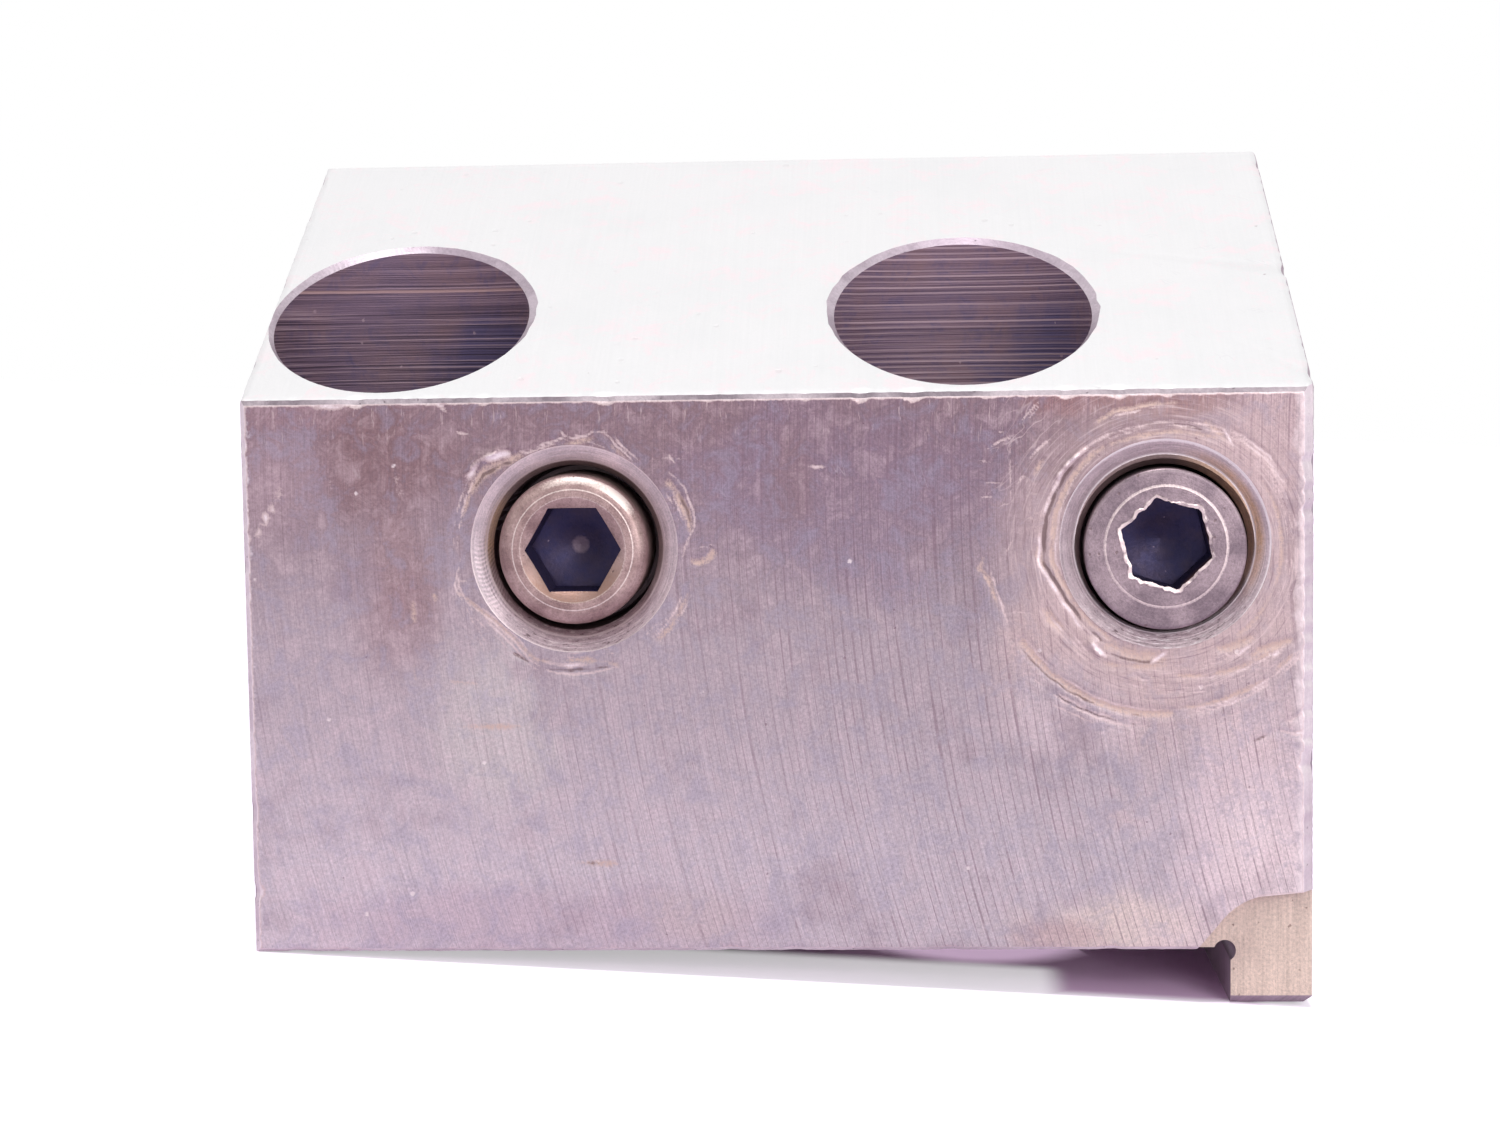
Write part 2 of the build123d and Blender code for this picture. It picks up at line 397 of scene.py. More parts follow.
# Stains on the front: middle x and z, reach in x and z, colour, strength
frontStains = [
    (-37.0, 47.0, 8.0, 7.0, (120, 90, 92), 0.6),
    (-36.0, 37.5, 5.0, 6.0, (134, 102, 102), 0.45),
    (-36.5, 32.0, 5.0, 6.0, (138, 108, 112), 0.45),
    (-46.5, 46.0, 5.0, 6.0, (160, 138, 146), 0.5),
    (-26.5, 22.0, 7.0, 10.0, (192, 184, 182), 0.5),
    (2.0, 46.0, 2.6, 5.0, (132, 100, 84), 0.45),
    (8.0, 44.0, 22.0, 12.0, (128, 108, 130), 0.45),
    (33.0, 2.0, 13.0, 4.0, (220, 202, 192), 0.7),
    (26.0, 1.6, 5.0, 2.2, (166, 134, 140), 0.45),
    (44.0, 10.0, 9.0, 22.0, (222, 202, 206), 0.6),
    (36.8, 34.0, 17.5, 18.5, (196, 172, 170), 0.75),
    (28.0, 22.0, 7.0, 6.0, (208, 190, 194), 0.6),
    (46.0, 8.0, 6.0, 8.0, (234, 216, 216), 0.5),
    (46.0, 47.0, 7.0, 11.0, (190, 166, 168), 0.8),
    (28.2, 52.4, 4.2, 1.8, (140, 104, 106), 0.85),
    (36.8, 52.4, 7.5, 2.0, (140, 102, 100), 0.85),
    (-46.0, 52.0, 6.0, 2.0, (150, 122, 130), 0.4),
    (-22.0, 3.0, 30.0, 4.0, (168, 148, 162), 0.45),
    (-8.0, 3.5, 6.0, 3.0, (196, 180, 176), 0.35),
]


def makeFrontSteel():
    look = frontLook
    bench = MaterialBench("frontSteel")
    x, y, z = bench.separate(bench.where)
    cloud, hue, grain = bench.mottle()
    # the tool swept across the face in wide arcs
    rise = bench.math("SUBTRACT", z, look["sweepHeight"] * mm)
    square = (look["sweepRadius"] * mm) ** 2
    sweep = bench.math("SQRT", bench.math("SUBTRACT", square, bench.times(rise, rise)))
    across = bench.math("ADD", x, sweep)
    lines, coarse = bench.lines(across, z, **look["lines"])

    tone = bench.tint(look["topTone"], look["midTone"], bench.span(z, *look["midFade"], kind="SMOOTHSTEP"))
    tone = bench.tint(tone, look["lowTone"], bench.span(z, *look["lowFade"], kind="SMOOTHSTEP"))
    for centreX, centreZ, reachX, reachZ, color, strength in frontStains:
        stain = bench.patch((centreX, 0, centreZ), (reachX, 1e6, reachZ))
        tone = bench.tint(tone, color, stain, strength)

    # cloudy tint from rosy to bluish, then the tool lines, on a face that is a little paler at the left
    tone = bench.tint(tone, look["rosyTone"], bench.spread(hue, 0.5, 0.68, 0.0, 0.3))
    tone = bench.tint(tone, look["blueTone"], bench.spread(hue, 0.5, 0.36, 0.0, 0.35))
    tone = bench.tint(tone, look["deepTone"], bench.spread(cloud, 0.56, 0.72, 0.0, 0.3))
    light = bench.plus(
        bench.span(x, -50, 22, look["leftLift"], 1.03),
        (bench.spread(lines, 0.2, 0.8, -0.5, 0.5), 0.28), (bench.spread(coarse, 0.35, 0.65, -0.5, 0.5), 0.05),
    )
    tone = bench.shade(tone, bench.swing(grain, 1.1, light))

    # lone dark tool lines, scratches, bright nicks and dark pits
    phase = bench.plus(bench.swing(coarse, 5.0), (across, 2 * math.pi / (look["feedPitch"] * mm)))
    lone = bench.times(
        bench.spread(bench.math("SINE", phase), 0.88, 0.97),
        bench.spread(hue, 0.38, 0.56, 0.05, 0.6), bench.span(x, -30, 20, 0.3, 0.9),
    )
    tone = bench.tint(tone, look["deepTone"], lone)
    crossed = bench.scratches(0.75, 1.3, 3.5)
    tone = bench.tint(tone, look["lightTone"], crossed, bench.patch(**look["rubbed"]))
    marks = bench.math("MAXIMUM", bench.scratches(-0.35, 0.5), bench.scratches(0.9, 0.35, 7.0))
    nick = bench.specks(3.6, 0.06, 0.3)
    pit = bench.specks(2.4, 0.05, 0.3, bench.vector("ADD", bench.where, (0.013, 0, 0.007)))
    tone = bench.tint(tone, look["bareTone"], marks, 0.4)
    tone = bench.tint(tone, look["nickTone"], nick, 0.75)
    tone = bench.tint(tone, look["pitTone"], pit, 0.45)

    # short upright flecks under the top edge
    fleck = bench.lines(x, z, **look["flecks"])["Lines"]
    nearTop = bench.span(z, 46, 52.5, 0.0, 0.5)
    tone = bench.tint(tone, look["lightTone"], bench.spread(fleck, 0.75, 0.95), nearTop)

    # the disc scuffed round the right screw, with fine turned lines
    radius, turn = bench.around(*rightDisc)
    turned = bench.lines(radius, bench.times(turn, look["turnScale"]), **look["turned"])["Lines"]
    onDisc = bench.span(radius, *look["discFade"], 1.0, 0.0)
    tone = bench.tint(tone, look["discTone"], onDisc, 0.35)
    tone = bench.tint(tone, look["lightTone"], onDisc, bench.spread(turned, 0.6, 0.9, 0.0, 0.75))
    tone = bench.tint(tone, look["deepTone"], onDisc, bench.spread(turned, 0.36, 0.14, 0.0, 0.5))

    # pale bands along the upright edges
    fromMiddle = bench.math("ADD", x, bench.swing(hue, look["bandRagged"] * mm))
    rightBand = bench.span(fromMiddle, *look["rightBand"], 0.0, 0.85)
    leftBand = bench.span(fromMiddle, *look["leftBand"], 0.0, 0.7)
    tone = bench.tint(tone, look["edgeTone"], bench.math("MAXIMUM", rightBand, leftBand))

    # marks cut into the shape: tan scrapes, dark grooves with painted shade that the mesh is too coarse to
    # give, and bare metal
    fray = bench.swing(hue, 0.5, bench.swing(grain, 0.5))
    bare, tan, dark = (bench.math("ADD", bench.attribute(name), fray) for name in ("bare", "tan", "dark"))
    bareEdge = bench.spread(bare, 0.48, 0.66)
    tanEdge = bench.times(bench.spread(tan, 0.34, 0.7, 0.0, 0.9), bench.spread(grain, 0.36, 0.56, 0.35, 1.0))
    tone = bench.tint(tone, look["tanTone"], tanEdge)
    tone = bench.tint(tone, look["grooveTone"], bench.spread(dark, 0.44, 0.7, 0.0, 0.75))
    tone = bench.tint(tone, look["lightTone"], bareEdge, 0.75)
    tone = bench.tint(tone, look["bareTone"], bench.spread(bare, 0.68, 1.0))

    height = bench.plus(bench.times(lines, 0.5), (grain, 0.8), (marks, -0.8), (pit, -2.0), (nick, -1.2))
    metal = bench.math("ADD", look["metallic"], bench.times(bareEdge, 0.2))
    return bench.finish(tone, height, look["roughness"], metal, look["bump"])


slopeLook = {
    "tone": (231, 230, 231),
    "rosyTone": (240, 224, 228),
    "dullTone": (227, 227, 228),
    "markTone": (196, 190, 198),
    "pitTone": (190, 176, 182),
    "lines": {"pitch": 0.3, "length": 30.0, "contrast": 1.2},
    "endPatch": {"centre": (47.0, -8.0, 60.0), "reach": (12.0, 30.0, 30.0)},
    "roughness": (0.42, 0.55),
    "metallic": 0.35,
    "bump": 0.012,
}


def makeSlopeSteel():
    look = slopeLook
    bench = MaterialBench("slopeSteel")
    x, y, z = bench.separate(bench.where)
    cloud, hue, grain = bench.mottle(11.0)
    lines = bench.lines(x, bench.math("ADD", y, z), **look["lines"])["Lines"]
    tone = bench.tint(look["tone"], look["dullTone"], bench.spread(cloud, 0.45, 0.65, 0.0, 0.6))
    tone = bench.tint(tone, look["rosyTone"], bench.spread(hue, 0.52, 0.68, 0.0, 0.7))
    tone = bench.shade(tone, bench.swing(grain, 0.08, bench.swing(lines, 0.05, 1.0)))
    # more scratches and pits near the right end
    amount = bench.plus(0.15, (bench.patch(**look["endPatch"]), 0.6))
    marks = bench.math("MAXIMUM", bench.scratches(1.1, 0.5), bench.scratches(-0.6, 0.6, 6.0))
    pit = bench.specks(3.0, 0.1, 0.5)
    tone = bench.tint(tone, look["markTone"], marks, amount)
    tone = bench.tint(tone, look["pitTone"], pit, amount)
    height = bench.plus(grain, (lines, 0.4), (marks, -1.0), (pit, -2.0))
    return bench.finish(tone, height, look["roughness"], look["metallic"], look["bump"])


boreLook = {
    "tone": (126, 102, 124),
    "brownTone": (138, 108, 118),
    "blueTone": (84, 80, 124),
    "darkTone": (62, 46, 66),
    "lightTone": (192, 164, 176),
    "ringTone": (196, 158, 158),
    "lines": {"pitch": 0.2, "length": 40.0, "contrast": 3.0},
    "wobble": 0.12,
    "oiledAside": 8.0,
    "oiledHeight": 55.5,
    "oiledReach": (8.0, 20.0, 7.0),
    "ridgePitch": 0.58,
    "ringHeight": 63.8,
    "smoothAbove": (63.6, 66.8),
    "roughness": (0.62, 0.75),
    "metallic": 0.1,
    "bump": 0.05,
}


def makeBoreSteel():
    look = boreLook
    bench = MaterialBench("boreSteel")
    x, y, z = bench.separate(bench.where)
    cloud, hue, grain = bench.mottle(6.0)
    across = bench.math("ADD", z, bench.swing(cloud, look["wobble"] * mm))
    lines, coarse = bench.lines(across, bench.math("ADD", x, y), **look["lines"])
    tone = bench.tint(look["tone"], look["brownTone"], bench.spread(cloud, 0.4, 0.65))
    tone = bench.tint(tone, look["blueTone"], bench.spread(hue, 0.5, 0.7, 0.0, 0.5))
    # the blue, oiled side of each bore is at its lower right
    aside = look["oiledAside"]
    for boreX, boreY in boreCentres:
        oiled = bench.patch((boreX + aside, boreY + aside, look["oiledHeight"]), look["oiledReach"])
        tone = bench.tint(tone, look["blueTone"], oiled, 0.7)

    # the left bore is smooth above its ring, the right one is ridged throughout
    onLeft = bench.math("LESS_THAN", x, 0.0)
    low = bench.times(bench.span(z, *look["smoothAbove"], 1.0, 0.35), bench.plus(0.4, (onLeft, 0.6)))
    ridge = bench.math("SINE", bench.times(across, 2 * math.pi / (look["ridgePitch"] * mm)))
    ridge = bench.times(bench.spread(ridge, 0.2, 0.85), bench.math("SUBTRACT", 1.0, onLeft))
    tone = bench.tint(tone, look["lightTone"], ridge, bench.spread(coarse, 0.3, 0.5))
    tone = bench.tint(tone, look["darkTone"], bench.spread(lines, 0.48, 0.2, 0.0, 0.8), low)
    tone = bench.tint(tone, look["lightTone"], bench.spread(lines, 0.6, 0.95, 0.0, 0.8), low)

    # the ring in the left bore, with a plain strip under it
    ringZ = look["ringHeight"] * mm
    ringAway = bench.math("ABSOLUTE", bench.math("SUBTRACT", across, ringZ))
    tone = bench.tint(tone, look["ringTone"], bench.span(ringAway, 0.08, 0.22, 0.75, 0.0), onLeft)
    under = bench.math("SUBTRACT", ringZ, z)
    tone = bench.tint(
        tone, look["tone"], bench.span(under, 0.2, 0.4), bench.span(under, 1.4, 2.4, 0.45, 0.0), onLeft
    )
    tone = bench.tint(tone, look["lightTone"], bench.specks(2.0, 0.1, 0.4), 0.6)
    height = bench.plus(lines, (grain, 0.25))
    return bench.finish(tone, height, look["roughness"], look["metallic"], look["bump"])


ringLook = {
    "leftRingSteel": {
        "place": (leftClampX, leftClampZ), "face": (226, 209, 213), "gray": (204, 189, 195),
        "rim": (230, 214, 216), "rimTurn": 2.6, "rimShift": 0.02, "brownFrom": (8.62, 8.42),
        "spot": (198, 168, 144), "spotTurn": 2.9, "spotReach": (8.72, 8.5), "spotWidth": (0.88, 0.98),
        "chatter": 0.45, "lowShade": 0.7,
    },
    "rightRingSteel": {
        "place": (rightClampX, rightClampZ + blockShape["rightRingRise"]), "face": (214, 196, 200),
        "gray": (190, 172, 178), "rim": (244, 234, 236), "rimTurn": 1.15, "rimShift": 0.16,
        "brownFrom": (8.6, 8.3), "spot": (200, 164, 138), "spotTurn": 0.35, "spotReach": (9.5, 9.0),
        "spotWidth": (0.45, 0.95), "chatter": 0.0, "lowShade": 0.3,
    },
}
ringFlecks = {"pitch": 0.25, "length": 1.2, "contrast": 2.6}


def makeRingSteel(name):
    look = ringLook[name]
    bench = MaterialBench(name)
    radius, turn = bench.around(*look["place"])
    cloud, hue, grain = bench.mottle(4.0, 0.2)
    along = bench.times(turn, 0.009)
    lines = bench.lines(radius, along, 0.14, 6.0, 2.0)["Lines"]

    def facing(angle, *limits):
        return bench.spread(bench.math("COSINE", bench.math("SUBTRACT", turn, angle)), *limits)

    tone = bench.tint(look["face"], look["gray"], bench.spread(cloud, 0.4, 0.6))
    tone = bench.tint(tone, (132, 104, 98), bench.span(radius, *look["brownFrom"]), 0.7)
    # painted shade: the inner bevel darker near the hole at the top, where the rim shades it
    tone = bench.tint(tone, (78, 60, 58), bench.span(radius, 8.5, 8.3), facing(1.3, 0.3, 0.95, 0.0, 0.7))
    spot = bench.times(facing(look["spotTurn"], *look["spotWidth"]), bench.span(radius, *look["spotReach"]))
    tone = bench.tint(tone, look["spot"], spot, bench.spread(hue, 0.3, 0.6, 0.55, 1.0))
    tone = bench.tint(tone, (184, 160, 168), facing(-1.5, 0.1, 0.9), look["lowShade"])
    light = bench.swing(grain, 0.9, bench.swing(lines, 0.4, 1.0))
    # crescents where the tool chattered, at the lower left
    fromMiddle = bench.times(bench.math("SUBTRACT", radius, 0.0091), 3000.0)
    phase = bench.plus(bench.times(turn, 130.0), (bench.times(fromMiddle, fromMiddle), 1.2))
    wave = bench.math("SINE", bench.plus(phase, (hue, 5.0)))
    window = bench.times(facing(-2.85, 0.9, 0.98, 0.0, look["chatter"]), bench.span(radius, 9.7, 9.5))
    tone = bench.shade(tone, bench.plus(light, (bench.times(wave, window), 0.45)))

    # rough bright flecks along the bottom
    fleck = bench.lines(radius, along, **ringFlecks)["Lines"]
    lowWindow = facing(-1.6, 0.35, 0.85, 0.0, 0.8)
    tone = bench.tint(tone, look["rim"], bench.spread(fleck, 0.62, 0.9), lowWindow)
    tone = bench.tint(tone, (96, 72, 78), bench.spread(fleck, 0.3, 0.08), lowWindow)

    # the bright rims, outer and middle
    wander = bench.plus(radius, (grain, 0.00012))
    toRim = bench.math("COSINE", bench.math("SUBTRACT", turn, look["rimTurn"]))
    outerRim = bench.span(bench.plus(wander, (toRim, look["rimShift"] * mm)), 9.8, 9.92)
    middleAway = bench.math("ABSOLUTE", bench.math("SUBTRACT", wander, 0.00856))
    middleRim = bench.span(middleAway, 0.04, 0.13, 0.85, 0.0)
    tone = bench.tint(tone, look["rim"], bench.math("MAXIMUM", outerRim, middleRim))
    return bench.finish(tone, bench.plus(lines, (grain, 0.6)), (0.34, 0.48), 0.5, 0.03)


# The plainer finishes, each as far as it differs from the first entry
plainLook = {
    "common": {"grain": 0.4, "lines": 0.18, "rough": (0.35, 0.5), "metal": 0.7, "bump": 0.02, "specks": 0.2},
    "lipSteel": {
        "tone": (220, 200, 186), "other": (204, 184, 172), "dark": (134, 106, 98),
        "grain": 1.0, "lines": 0.5, "rough": (0.5, 0.65), "metal": 0.3, "bump": 0.05, "specks": 0.5,
    },
    "edgeSteel": {
        "tone": (236, 224, 228), "other": (214, 198, 206), "dark": (150, 130, 142),
        "grain": 0.35, "rough": (0.3, 0.5), "metal": 0.6, "bump": 0.03, "specks": 0.3,
    },
    "topEdgeSteel": {
        "tone": (178, 166, 172), "other": (124, 112, 120), "dark": (90, 76, 84),
        "grain": 0.8, "rough": (0.4, 0.55), "metal": 0.4, "bump": 0.03, "specks": 0.5,
    },
    "sideSteel": {
        "tone": (176, 159, 170), "other": (165, 148, 160), "dark": (120, 98, 112),
        "grain": 0.5, "lines": 0.6, "rough": (0.38, 0.52), "metal": 0.5, "specks": 0.4,
    },
    "holeSteel": {"tone": (118, 96, 96), "other": (98, 78, 84), "dark": (58, 44, 50)},
    "mouthSteel": {
        "tone": (198, 184, 194), "other": (168, 152, 164), "dark": (134, 116, 126),
        "grain": 0.7, "metal": 0.45, "specks": 0.3,
    },
    "plugSteel": {"tone": (110, 96, 98), "other": (92, 78, 84), "dark": (60, 48, 54)},
}


def makePlainSteel(name):
    look = {**plainLook["common"], **plainLook[name]}
    bench = MaterialBench(name)
    x, y, z = bench.separate(bench.where)
    cloud, hue, grain = bench.mottle()
    lines = bench.lines(bench.math("ADD", x, y), z, 0.3, 12.0, 1.4)["Lines"]
    tone = bench.tint(look["tone"], look["other"], bench.spread(cloud, 0.42, 0.6))
    tone = bench.shade(tone, bench.swing(lines, look["lines"], bench.swing(grain, look["grain"], 1.0)))
    pit = bench.specks(0.8, 0.13, look["specks"])
    tone = bench.tint(tone, look["dark"], pit, 0.55)
    tone = bench.tint(tone, (238, 226, 228), bench.scratches(0.2, 0.5), 0.35)
    height = bench.plus(grain, (lines, 0.4), (pit, -1.5))
    return bench.finish(tone, height, look["rough"], look["metal"], look["bump"])


print("Making the steel finishes")
finishes = [makeFrontSteel(), makeSlopeSteel(), makeBoreSteel()]
finishes += [makeRingSteel(name) for name in ringLook]
finishes += [
    makePlainSteel(name)
    for name in ("lipSteel", "edgeSteel", "topEdgeSteel", "sideSteel", "holeSteel", "mouthSteel")
]
finishIndex = {material.name: index for index, material in enumerate(finishes)}


# Wear on the front face, as depths into the metal and as masks for the finish

# Kinds of mark: depth into the metal, then how bare, tan or dark it is
markKinds = {
    "burr": (-0.2, 1.2, 0.0, 0.0),
    "bright": (0.04, 1.0, 0.0, 0.0),
    "light": (0.05, 0.82, 0.3, 0.0),
    "faint": (0.02, 0.68, 0.0, 0.0),
    "tan": (0.1, 0.0, 1.0, 0.0),
    "thinTan": (0.06, 0.0, 0.8, 0.0),
    # dark kinds: grooves whose dark tone is painted shade, as the mesh is too coarse to shade them
    "dark": (0.1, 0.0, 0.0, 1.0),
    "thinDark": (0.06, 0.0, 0.0, 0.78),
}


def arc(firstRadius, lastRadius, firstAngle, lastAngle):
    # A run round the right screw, on an arc whose radius changes from end to end
    count = max(2, int(abs(lastAngle - firstAngle) / 7) + 1)
    points = []
    for index in range(count + 1):
        share = index / count
        angle = math.radians(firstAngle + (lastAngle - firstAngle) * share)
        radius = firstRadius + (lastRadius - firstRadius) * share
        points.append((rightDisc[0] + radius * math.cos(angle), rightDisc[1] + radius * math.sin(angle)))
    return points


